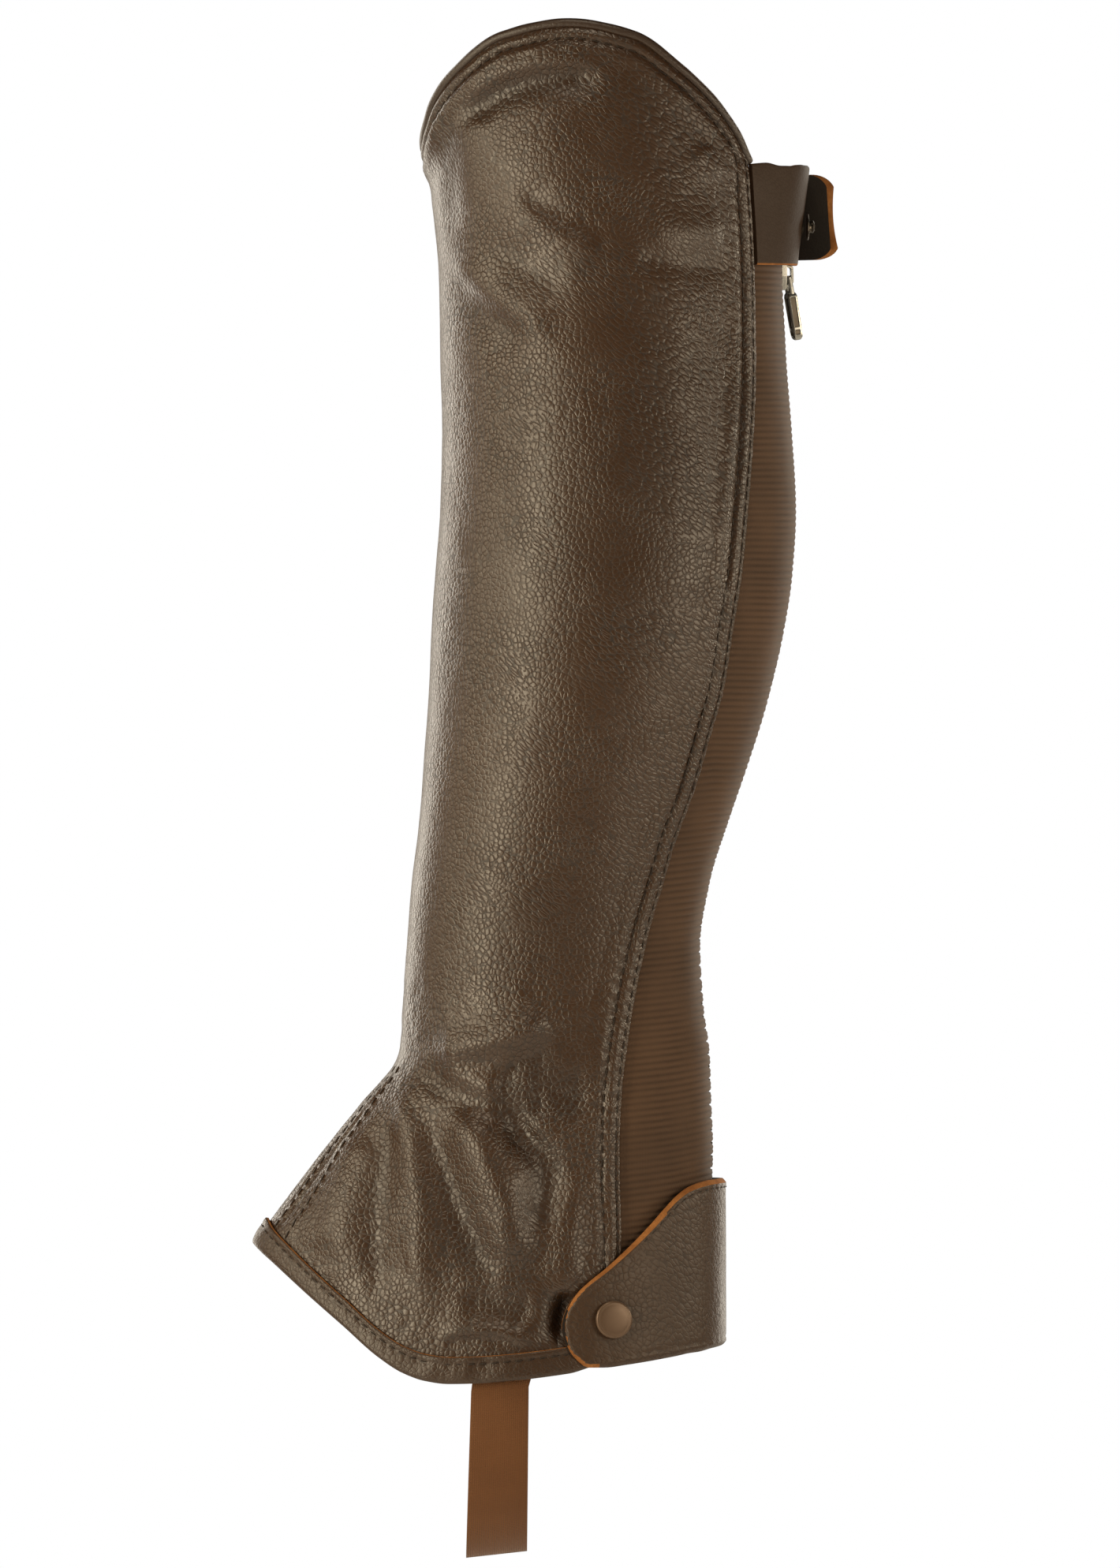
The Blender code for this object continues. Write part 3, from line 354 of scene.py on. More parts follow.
class finish:
    # a material's nodes, with short ways to add and join them
    def __init__(self, name):
        self.material = bpy.data.materials.new(name)
        self.material.use_nodes = True
        self.nodes = self.material.node_tree.nodes
        self.links = self.material.node_tree.links
        self.shader = self.nodes["Principled BSDF"]
        self.place = self.nodes.new("ShaderNodeTexCoord").outputs["Object"]

    def add(self, kind, **values):
        node = self.nodes.new(kind)
        for key, value in values.items():
            setattr(node, key, value)
        return node

    def feed(self, socket, value):
        if hasattr(value, "is_output"):
            self.links.new(value, socket)
        else:
            socket.default_value = value

    def stretched(self, times, turn=(0, 0, 0), place=None):
        # draws a pattern out along its own turned axes
        node = self.add("ShaderNodeMapping", vector_type="TEXTURE")
        self.feed(node.inputs["Vector"], place or self.place)
        node.inputs["Scale"].default_value = times
        node.inputs["Rotation"].default_value = turn
        return node.outputs[0]

    def noise(self, scale, detail=2.0, place=None, roughness=0.5):
        node = self.add("ShaderNodeTexNoise")
        self.feed(node.inputs["Vector"], place or self.place)
        node.inputs["Scale"].default_value = scale
        node.inputs["Detail"].default_value = detail
        node.inputs["Roughness"].default_value = roughness
        return node.outputs["Fac"]

    def cells(self, scale, feature, place):
        node = self.add("ShaderNodeTexVoronoi", feature=feature)
        self.feed(node.inputs["Vector"], place)
        node.inputs["Scale"].default_value = scale
        return node.outputs["Distance"]

    def maths(self, operation, a, b=0.0, c=0.0):
        node = self.add("ShaderNodeMath", operation=operation)
        for socket, value in zip(node.inputs, (a, b, c)):
            self.feed(socket, value)
        return node.outputs[0]

    def ranged(self, value, low, high, to=(0.0, 1.0)):
        node = self.add("ShaderNodeMapRange", interpolation_type="SMOOTHSTEP")
        self.feed(node.inputs["Value"], value)
        for name, number in zip(("From Min", "From Max", "To Min", "To Max"), (low, high, *to)):
            node.inputs[name].default_value = number
        return node.outputs[0]

    def mixed(self, share, first, second):
        node = self.add("ShaderNodeMix", data_type="RGBA")
        self.feed(node.inputs[0], share)
        self.feed(node.inputs[6], first)
        self.feed(node.inputs[7], second)
        return node.outputs[2]

    def attribute(self, name):
        return self.add("ShaderNodeAttribute", attribute_name=name).outputs["Fac"]

    def bent(self, scale, amount):
        # the place, pushed about by noise so that cells aren't straight-sided
        node = self.add("ShaderNodeTexNoise")
        self.feed(node.inputs["Vector"], self.place)
        node.inputs["Scale"].default_value = scale
        node.inputs["Detail"].default_value = 1.0
        centred = self.add("ShaderNodeVectorMath", operation="SUBTRACT")
        self.links.new(node.outputs["Color"], centred.inputs[0])
        centred.inputs[1].default_value = (0.5, 0.5, 0.5)
        sized = self.add("ShaderNodeVectorMath", operation="SCALE")
        self.links.new(centred.outputs[0], sized.inputs[0])
        sized.inputs["Scale"].default_value = amount
        moved = self.add("ShaderNodeVectorMath", operation="ADD")
        self.feed(moved.inputs[0], self.place)
        self.links.new(sized.outputs[0], moved.inputs[1])
        return moved.outputs[0]

    def bumped(self, height, strength, depth):
        node = self.add("ShaderNodeBump")
        node.inputs["Strength"].default_value = strength
        node.inputs["Distance"].default_value = depth
        self.links.new(height, node.inputs["Height"])
        return node.outputs[0]

    def wear(self, **values):
        sockets = {
            "colour": "Base Color", "roughness": "Roughness", "metallic": "Metallic", "normal": "Normal",
            "gloss": "Specular IOR Level", "fuzz": "Sheen Weight", "fuzzRoughness": "Sheen Roughness",
        }
        for name, value in values.items():
            self.feed(self.shader.inputs[sockets[name]], value)
        return self.material


# the leather's pebbles, in metres down to their depth, then how round, grooved, cut and soft they are
grain = {
    "pebble": 0.0018, "streak": 0.00135, "fine": 0.0006, "depth": 0.00018, "round": 1.6, "groove": 0.2,
    "cut": 0.5, "soft": 0.3,
}


def pebbledLeather(name, tone, dark, pebble=1.0, smooth=0.0, roughness=0.36, gloss=0.7):
    f = finish(name)
    place = f.bent(260.0, 0.0009)
    # round pebbles in some places, pebbles pulled into slanting streaks in others
    split = f.add("ShaderNodeSeparateXYZ")
    f.links.new(f.place, split.inputs[0])
    streaked = f.ranged(f.maths("MULTIPLY_ADD", split.outputs["X"], 3.0, f.noise(24.0, 1.0)), 0.42, 0.58)
    slanting = f.stretched((2.5, 1.4, 1.0), (0.0, 0.66, 0.0), place)
    both = []
    for feature in ("F1", "DISTANCE_TO_EDGE"):
        blend = f.add("ShaderNodeMix", data_type="FLOAT")
        f.links.new(streaked, blend.inputs[0])
        f.links.new(f.cells(1 / (grain["pebble"] * pebble), feature, place), blend.inputs[2])
        f.links.new(f.cells(1 / (grain["streak"] * pebble), feature, slanting), blend.inputs[3])
        both.append(blend.outputs[0])
    gap, edge = both
    dome = f.maths("SUBTRACT", 1.0, f.maths("POWER", gap, grain["round"]))
    dome = f.maths("MULTIPLY_ADD", f.ranged(edge, 0.0, grain["groove"]), grain["cut"], dome)
    lumps = f.noise(1.0 / (grain["pebble"] * pebble * 1.3), 1.0, place)
    dome = f.maths("MULTIPLY_ADD", lumps, grain["soft"], dome)
    amount = f.ranged(f.noise(38.0, 2.0), 0.3, 0.7, (0.55 * (1 - smooth), 1.0 - smooth))
    high = f.maths("MULTIPLY", dome, amount)
    high = f.maths("MULTIPLY_ADD", f.noise(1 / grain["fine"], 1.0), 0.08, high)
    high = f.maths("MULTIPLY_ADD", f.noise(210.0, 1.0), 0.12, high)
    normal = f.bumped(high, 1.0, grain["depth"])
    colour = f.mixed(f.ranged(f.noise(11.0, 3.0), 0.3, 0.7), tone, shaded(tone, 0.84))
    # painted shade: the colour darkens in the pits between the pebbles; the same mask also makes the pits
    # rougher
    pit = f.maths("MULTIPLY", f.ranged(edge, 0.13, 0.02), f.ranged(gap, 0.36, 0.6))
    pit = f.maths("MULTIPLY", pit, f.maths("MULTIPLY", amount, 0.9))
    colour = f.mixed(pit, colour, dark)
    # painted shade: the colour darkens where the relief sinks, in the creases' hollows
    sunk = f.ranged(f.attribute("crease"), -0.1, -1.0)
    colour = f.mixed(f.maths("MULTIPLY", sunk, 0.35), colour, dark)
    rough = f.maths("MULTIPLY_ADD", f.noise(70.0, 2.0), 0.14, roughness - 0.07)
    rough = f.maths("MULTIPLY_ADD", pit, 0.2, rough)
    return f.wear(colour=colour, roughness=rough, normal=normal, gloss=gloss)


def rawEdge(name, tone, dark):
    # the cut edge of the hide: pale fibres, a little uneven
    f = finish(name)
    fibre = f.noise(1900.0, 3.0)
    patches = f.noise(160.0, 3.0)
    colour = f.mixed(f.ranged(patches, 0.35, 0.7), tone, dark)
    colour = f.mixed(f.ranged(fibre, 0.35, 0.75), colour, shaded(tone, 0.72))
    return f.wear(colour=colour, roughness=0.85, normal=f.bumped(fibre, 0.6, 0.00025), gloss=0.25)


def suedeBack(name, tone, dark):
    f = finish(name)
    nap = f.noise(900.0, 4.0, roughness=0.65)
    drift = f.noise(30.0, 4.0)
    colour = f.mixed(f.ranged(drift, 0.35, 0.65), tone, dark)
    colour = f.mixed(f.maths("MULTIPLY", f.ranged(nap, 0.4, 0.7), 0.35), colour, shaded(tone, 1.3))
    normal = f.bumped(nap, 0.5, 0.0003)
    return f.wear(colour=colour, roughness=0.95, normal=normal, gloss=0.2, fuzz=0.4, fuzzRoughness=0.5)


def ribbedElastic(name, tone, dark):
    f = finish(name)
    groove = f.attribute("groove")
    threads = f.add("ShaderNodeTexWave", wave_type="BANDS", bands_direction="X")
    f.links.new(f.add("ShaderNodeUVMap", uv_map="weave").outputs[0], threads.inputs["Vector"])
    threads.inputs["Scale"].default_value = 0.314 / 0.0006
    threads.inputs["Distortion"].default_value = 0.6
    threads.inputs["Detail"].default_value = 1.0
    fibre = f.noise(1500.0, 3.0)
    drift = f.ranged(f.noise(38.0, 3.0), 0.3, 0.7)
    high = f.maths("MULTIPLY_ADD", threads.outputs["Fac"], 0.5, f.maths("MULTIPLY", fibre, 0.6))
    # painted shade: the elastic is darker in the grooves between its ribs
    colour = f.mixed(f.maths("MULTIPLY", groove, 0.45), tone, dark)
    colour = f.mixed(f.maths("MULTIPLY", drift, 0.25), colour, dark)
    normal = f.bumped(high, 0.35, 0.00018)
    return f.wear(colour=colour, roughness=0.78, normal=normal, gloss=0.3, fuzz=0.15, fuzzRoughness=0.4)


def wovenWebbing(name, tone, dark):
    f = finish(name)
    uv = f.add("ShaderNodeUVMap", uv_map="weave").outputs[0]
    heights = []
    for direction, pitch in (("X", 0.75), ("Y", 0.62)):
        band = f.add("ShaderNodeTexWave", wave_type="BANDS", bands_direction=direction)
        f.links.new(uv, band.inputs["Vector"])
        band.inputs["Scale"].default_value = 314 / pitch
        band.inputs["Distortion"].default_value = 0.5
        band.inputs["Detail"].default_value = 1.0
        heights.append(band.outputs["Fac"])
    cross = f.maths("MAXIMUM", heights[0], f.maths("MULTIPLY", heights[1], 0.9))
    fibre = f.noise(1800.0, 3.0)
    high = f.maths("MULTIPLY_ADD", fibre, 0.35, cross)
    drift = f.ranged(f.noise(45.0, 3.0), 0.3, 0.7)
    # painted shade: the webbing is darker where its weave lies low
    colour = f.mixed(f.ranged(high, 0.9, 0.35), tone, dark)
    colour = f.mixed(f.maths("MULTIPLY", drift, 0.3), colour, dark)
    normal = f.bumped(high, 0.5, 0.00022)
    return f.wear(colour=colour, roughness=0.72, normal=normal, gloss=0.3, fuzz=0.2, fuzzRoughness=0.4)


def plainThread(name, tone):
    f = finish(name)
    twist = f.noise(2600.0, 2.0)
    colour = f.mixed(f.ranged(twist, 0.35, 0.7), tone, shaded(tone, 0.6))
    return f.wear(colour=colour, roughness=0.55, normal=f.bumped(twist, 0.4, 0.0001), gloss=0.4)


def metal(name, tone, roughness):
    f = finish(name)
    scratches = f.noise(700.0, 3.0, f.stretched((1.0, 1.0, 8.0)))
    patches = f.noise(120.0, 3.0)
    colour = f.mixed(f.ranged(patches, 0.35, 0.7), tone, shaded(tone, 0.72))
    rough = f.maths("MULTIPLY_ADD", scratches, 0.16, roughness - 0.08)
    return f.wear(colour=colour, roughness=rough, metallic=1.0, normal=f.bumped(scratches, 0.08, 0.00005))


def enamel(name, tone):
    f = finish(name)
    orange = f.noise(420.0, 2.0)
    patches = f.noise(60.0, 2.0)
    colour = f.mixed(f.ranged(patches, 0.35, 0.65), tone, shaded(tone, 0.88))
    rough = f.maths("MULTIPLY_ADD", orange, 0.1, 0.33)
    normal = f.bumped(orange, 0.06, 0.0001)
    return f.wear(colour=colour, roughness=rough, metallic=0.35, normal=normal, gloss=0.5)


def glossTeeth(name, tone):
    f = finish(name)
    cloud = f.noise(300.0, 2.0)
    colour = f.mixed(f.ranged(cloud, 0.3, 0.7), tone, shaded(tone, 0.75))
    rough = f.maths("MULTIPLY_ADD", cloud, 0.15, 0.28)
    return f.wear(colour=colour, roughness=rough, normal=f.bumped(cloud, 0.1, 0.0001))


brownLeather = pebbledLeather("brownLeather", toned(65, 43, 25), toned(34, 21, 12))
smoothLeather = pebbledLeather(
    "smoothLeather", toned(58, 39, 25), toned(32, 20, 12), pebble=0.8, smooth=0.6, roughness=0.44,
)
tabLeather = pebbledLeather(
    "tabLeather", toned(57, 38, 23), toned(34, 21, 12), pebble=0.7, smooth=0.75, roughness=0.62, gloss=0.3,
)
hemLeather = pebbledLeather(
    "hemLeather", toned(62, 41, 24), toned(34, 21, 12), pebble=0.9, smooth=0.45, roughness=0.4, gloss=0.6,
)
heelLeather = pebbledLeather(
    "heelLeather", toned(66, 45, 28), toned(36, 23, 14), pebble=1.1, smooth=0.35, roughness=0.46, gloss=0.5,
)
tanEdge = rawEdge("tanEdge", toned(165, 108, 58), toned(128, 78, 38))
brownSuede = suedeBack("brownSuede", toned(104, 80, 58), toned(80, 60, 43))
# a darker copy of the suede for the tabs' backs: partly a dark backing, partly painted shade inside the open
# tab
darkSuedeAndShade = suedeBack("darkSuedeAndShade", toned(40, 29, 20), toned(28, 20, 14))
brownElastic = ribbedElastic("brownElastic", toned(90, 66, 48), toned(40, 28, 19))
strapWeb = wovenWebbing("strapWeb", toned(116, 74, 40), toned(84, 50, 25))
zipCloth = plainThread("zipCloth", toned(54, 43, 34))
brownThread = plainThread("brownThread", toned(44, 31, 21))
silverMetal = metal("silverMetal", toned(190, 188, 184), 0.26)
darkMetal = metal("darkMetal", toned(96, 88, 80), 0.34)
brownEnamel = enamel("brownEnamel", toned(104, 82, 65))
darkTeeth = glossTeeth("darkTeeth", toned(58, 47, 38))
print("finishes mixed")


def gridFaces(grid):
    a, b, c, d = grid[:-1, :-1], grid[:-1, 1:], grid[1:, 1:], grid[1:, :-1]
    return np.stack([a, b, c, d], -1).reshape(-1, 4)


def joinedEdges(first, second):
    faces = []
    i = j = 0
    while i < len(first) - 1 or j < len(second) - 1:
        stepFirst = (i + 1) / (len(first) - 1) if i < len(first) - 1 else 2
        stepSecond = (j + 1) / (len(second) - 1) if j < len(second) - 1 else 2
        if stepFirst <= stepSecond:
            faces.append((first[i], first[i + 1], second[j]))
            i += 1
        else:
            faces.append((first[i], second[j + 1], second[j]))
            j += 1
    return faces


def makePiece(name, points, faceGroups, finishes, body="chap", sharpAt=48.0):
    # faceGroups holds one list of faces for each finish
    mesh = bpy.data.meshes.new(name)
    faces, marks = [], []
    for k, group in enumerate(faceGroups):
        group = [tuple(int(i) for i in face) for face in group]
        faces += group
        marks += [k] * len(group)
    mesh.from_pydata((np.asarray(points) * mm).tolist(), [], faces)
    mesh.polygons.foreach_set("material_index", marks)
    shape = bmesh.new()
    shape.from_mesh(mesh)
    bmesh.ops.recalc_face_normals(shape, faces=shape.faces)
    shape.to_mesh(mesh)
    shape.free()
    for look in finishes:
        mesh.materials.append(look)
    mesh.shade_smooth()
    mesh.set_sharp_from_angle(angle=math.radians(sharpAt))
    piece = bpy.data.objects.new(name, mesh)
    bpy.context.scene.collection.objects.link(piece)
    if body:
        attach(piece, body)
    return piece


def makeWall(name, outer, inner, finishes, body="chap", rawBand=None, sharpAt=48.0, plainSides=()):
    # a closed wall between two grids with as many columns: finishes are outer, inner and edge.
    # rawBand marks the outer faces that take the edge's finish, plainSides the sides that don't
    outerIds = np.arange(outer.shape[0] * outer.shape[1]).reshape(outer.shape[:2])
    innerIds = np.arange(inner.shape[0] * inner.shape[1]).reshape(inner.shape[:2]) + outerIds.size
    sides = {
        "first row": gridFaces(np.stack([outerIds[0], innerIds[0]])).tolist(),
        "last row": gridFaces(np.stack([outerIds[-1], innerIds[-1]])).tolist(),
        "first column": joinedEdges(list(outerIds[:, 0]), list(innerIds[:, 0])),
        "last column": joinedEdges(list(outerIds[:, -1]), list(innerIds[:, -1])),
    }
    edges = sum([faces for side, faces in sides.items() if side not in plainSides], [])
    front = gridFaces(outerIds)
    if rawBand is not None:
        edges += front[rawBand.ravel()].tolist()
        front = front[~rawBand.ravel()]
    front = front.tolist() + sum([sides[side] for side in plainSides], [])
    points = np.concatenate([outer.reshape(-1, 3), inner.reshape(-1, 3)])
    return makePiece(name, points, [front, gridFaces(innerIds)[:, ::-1], edges], finishes, body, sharpAt)


def tubeFaces(rings, first=0):
    # the faces of a closed tube through rings of points, with its two flat ends
    ids = first + np.arange(rings.shape[0] * rings.shape[1]).reshape(rings.shape[:2])
    return gridFaces(np.concatenate([ids, ids[:, :1]], 1)).tolist() + [tuple(ids[0][::-1]), tuple(ids[-1])]


def bandOf(gap, width):
    # the outer faces whose corners all lie within a width of the edge
    close = gap < width
    return close[:-1, :-1] & close[:-1, 1:] & close[1:, 1:] & close[1:, :-1]


def addUv(piece, uvOfPoint):
    # uvOfPoint holds a row of (u, v) metres for each point
    layer = piece.data.uv_layers.new(name="weave")
    corners = np.empty(len(piece.data.loops), int)
    piece.data.loops.foreach_get("vertex_index", corners)
    layer.data.foreach_set("uv", np.asarray(uvOfPoint, np.float32)[corners].ravel())


def addAttribute(piece, name, values):
    held = piece.data.attributes.new(name, "FLOAT", "POINT")
    held.data.foreach_set("value", np.asarray(values, np.float32))


def edgeShares(length, steps, middle):
    # shares of a length that lie close together at both ends: steps are in mm from each end
    near = np.array(steps) / length
    count = max(2, int(round((length - 2 * steps[-1]) / middle)))
    return np.concatenate([near, np.linspace(near[-1], 1 - near[-1], count + 1)[1:-1], (1 - near)[::-1]])


# nodes that lay stitches and teeth along a line
def newTree(name, inputs):
    tree = bpy.data.node_groups.new(name, "GeometryNodeTree")
    tree.interface.new_socket("Geometry", in_out="INPUT", socket_type="NodeSocketGeometry")
    for label, kind, value in inputs:
        socket = tree.interface.new_socket(label, in_out="INPUT", socket_type="NodeSocket" + kind)
        if value is not None:
            socket.default_value = value
    tree.interface.new_socket("Geometry", in_out="OUTPUT", socket_type="NodeSocketGeometry")
    return tree, tree.nodes.new("NodeGroupInput"), tree.nodes.new("NodeGroupOutput")


def treeMaths(tree, operation, a, b=None):
    node = tree.nodes.new("ShaderNodeMath")
    node.operation = operation
    for socket, value in zip(node.inputs, (a, b)):
        if hasattr(value, "is_output"):
            tree.links.new(value, socket)
        elif value is not None:
            socket.default_value = value
    return node.outputs[0]


def treeRandom(tree, low, high, seed, salt):
    node = tree.nodes.new("FunctionNodeRandomValue")
    node.data_type = "FLOAT"
    node.inputs[2].default_value, node.inputs[3].default_value = low, high
    tree.links.new(treeMaths(tree, "ADD", seed, salt), node.inputs["Seed"])
    return node.outputs[1]


def treeNode(tree, kind, feeds, **settings):
    # a node with its settings and what goes into its sockets
    node = tree.nodes.new(kind)
    for key, value in settings.items():
        setattr(node, key, value)
    for socket, value in feeds.items():
        if hasattr(value, "is_output"):
            tree.links.new(value, node.inputs[socket])
        else:
            node.inputs[socket].default_value = value
    return node


def treeAttribute(tree, name, kind="FLOAT_VECTOR"):
    return treeNode(tree, "GeometryNodeInputNamedAttribute", {"Name": name}, data_type=kind).outputs[0]


def layAlong(tree, given):
    # even spots on a polyline, and the turn that lays a shape along it with its top outwards
    curve = treeNode(tree, "GeometryNodeMeshToCurve", {0: given.outputs["Geometry"]})
    feeds = {"Curve": curve.outputs[0], "Length": given.outputs["Pitch"]}
    spots = treeNode(tree, "GeometryNodeResampleCurve", feeds, mode="LENGTH")
    tangent = tree.nodes.new("GeometryNodeInputTangent")
    along = treeNode(tree, "FunctionNodeAlignRotationToVector", {"Vector": tangent.outputs[0]}, axis="X")
    feeds = {"Rotation": along.outputs[0], "Vector": treeAttribute(tree, "outward")}
    upright = treeNode(tree, "FunctionNodeAlignRotationToVector", feeds, axis="Z", pivot_axis="X")
    return spots.outputs[0], upright.outputs[0]


def endTree(tree, shape, look, out):
    real = treeNode(tree, "GeometryNodeRealizeInstances", {0: shape})
    finished = treeNode(tree, "GeometryNodeSetMaterial", {"Geometry": real.outputs[0], "Material": look})
    tree.links.new(finished.outputs[0], out.inputs[0])
    return tree


def makeStitchTree():
    # a polyline with an "outward" attribute becomes a row of threads
    tree, given, out = newTree("sewnRow", [
        ("Pitch", "Float", 0.0046), ("Long", "Float", 0.0036), ("Thick", "Float", 0.0008),
        ("Slant", "Float", 0.1), ("Seed", "Int", 1), ("Thread", "Material", None),
    ])
    thread = treeNode(tree, "GeometryNodeMeshUVSphere", {"Segments": 8, "Rings": 6, "Radius": 0.5})
    spots, upright = layAlong(tree, given)
    wander = treeRandom(tree, -0.09, 0.09, given.outputs["Seed"], 7)
    lean = treeMaths(tree, "ADD", given.outputs["Slant"], wander)
    turned = treeNode(tree, "ShaderNodeCombineXYZ", {"Z": lean})
    turn = treeNode(tree, "FunctionNodeEulerToRotation", {0: turned.outputs[0]})
    feeds = {"Rotation": upright, "Rotate By": turn.outputs[0]}
    slant = treeNode(tree, "FunctionNodeRotateRotation", feeds, rotation_space="LOCAL")
    uneven = treeRandom(tree, 0.88, 1.1, given.outputs["Seed"], 13)
    long = treeMaths(tree, "MULTIPLY", given.outputs["Long"], uneven)
    thick = given.outputs["Thick"]
    size = treeNode(tree, "ShaderNodeCombineXYZ", {0: long, 1: thick, 2: thick})
    placed = treeNode(tree, "GeometryNodeInstanceOnPoints", {
        "Points": spots, "Instance": thread.outputs["Mesh"], "Rotation": slant.outputs[0],
        "Scale": size.outputs[0],
    })
    return endTree(tree, placed.outputs[0], given.outputs["Thread"], out)


def growOn(source, tree, values, name):
    # runs a tree on an object and keeps its result as a plain mesh
    modifier = source.modifiers.new("grow", "NODES")
    modifier.node_group = tree
    keys = {item.name: item.identifier for item in tree.interface.items_tree if item.in_out == "INPUT"}
    for label, value in values.items():
        modifier[keys[label]] = value
    bpy.context.view_layer.update()
    graph = bpy.context.evaluated_depsgraph_get()
    grown = source.evaluated_get(graph)
    mesh = bpy.data.meshes.new_from_object(grown, preserve_all_data_layers=True, depsgraph=graph)
    source.modifiers.remove(modifier)
    bpy.data.objects.remove(source)
    mesh.name = name
    mesh.shade_smooth()
    piece = bpy.data.objects.new(name, mesh)
    bpy.context.scene.collection.objects.link(piece)
    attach(piece, "chap")
    return piece


def makeLine(name, rows):
    # several polylines in one mesh: each row is (points, ways out)
    points, outs, edges = [], [], []
    for line, away in rows:
        start = len(points)
        points += (np.asarray(line) * mm).tolist()
        outs += np.asarray(away).tolist()
        edges += [(start + k, start + k + 1) for k in range(len(line) - 1)]
    mesh = bpy.data.meshes.new(name)
    mesh.from_pydata(points, edges, [])
    held = mesh.attributes.new("outward", "FLOAT_VECTOR", "POINT")
    held.data.foreach_set("vector", np.array(outs, np.float32).ravel())
    holder = bpy.data.objects.new(name, mesh)
    bpy.context.scene.collection.objects.link(holder)
    return holder


stitchTree = makeStitchTree()


def sewRows(name, rows, pitch, long, thick, seed):
    values = {
        "Pitch": pitch * mm, "Long": long * mm, "Thick": thick * mm, "Slant": 0.06, "Seed": seed,
        "Thread": brownThread,
    }
    return growOn(makeLine(name + "Line", rows), stitchTree, values, name)


# the leather's relief
leather = {
    "thick": 2.0,
    # share of the height, row spacing in mm
    "rowSpacing": ((0.0, 1.15), (0.30, 1.2), (0.38, 2.1), (0.74, 2.2), (0.84, 1.5), (0.93, 0.9), (1.0, 0.65)),
    "outerColumns": 122,
    "innerColumns": 92,
    "hemZone": 9.5,
    # distance from the rim, rise
    "rimProfile": (
        (0.0, -0.45), (0.4, -0.4), (1.1, 0.3), (2.1, 0.6), (3.1, 0.2), (3.9, -0.5), (4.7, 0.0),
        (6.2, 0.8), (8.2, 0.5), (11.0, -0.1), (14.5, -0.35), (20.0, -0.1), (26.0, 0.0),
    ),
    # distance from the turned edge, rise
    "seamProfile": (
        (0.0, 0.15), (0.35, 0.55), (0.9, 0.7), (1.45, 0.3), (2.3, 0.95), (3.6, 1.15), (5.0, 0.95),
        (6.3, -0.1), (7.4, 0.4), (8.8, 0.75), (11.0, 0.55), (15.0, 0.0),
    ),
    # distance from the instep's ridge, rise
    "dartProfile": (
        (0.0, 0.55), (0.8, 0.3), (1.6, -0.05), (2.6, 0.2), (4.0, 0.15), (4.8, -0.35), (5.6, 0.2),
        (7.0, 0.4), (8.2, 0.2), (9.0, -0.35), (9.9, 0.1), (13.0, 0.0),
    ),
    # distance from the zip's edge, rise
    "zipProfile": ((0.0, -0.35), (0.6, 0.0), (2.0, 0.1), (3.1, -0.25), (4.2, 0.1), (7.0, 0.0)),
    "pucker": 4.6,
    "sway": 0.16,
    "swayAnkle": 0.34,
    # how deep the creases are, and the share of each that fades out at either end
    "creased": 1.5,
    "faded": 0.22,
    "tall": 452.0,
    # small waves in the sewn strips: rise, distance from the seam, width
    "seamTucks": ((0.2, 3.7, 1.7), (0.24, 8.6, 2.1), (0.10, 0.9, 0.7)),
    # the strip that stands up beside the seam's upper half: height and reach, distance and width
    "strip": (35, 50, 10.2, 2.6),
    "stripFold": (0.35, 6.3, 1.0),
    # rows of sewing: distance from the rim, from the gusset's seam with how far it stays from the rim,
    # from the instep's ridge, and from the zip
    "rimRow": 3.9,
    "seamRows": ((-1.45, 1.2), (-6.3, 3.9)),
    "ridgeRows": (4.8, 9.0, -4.8, -9.0),
    "zipRow": 3.1,
    "ridgeEnd": -258.0,
}

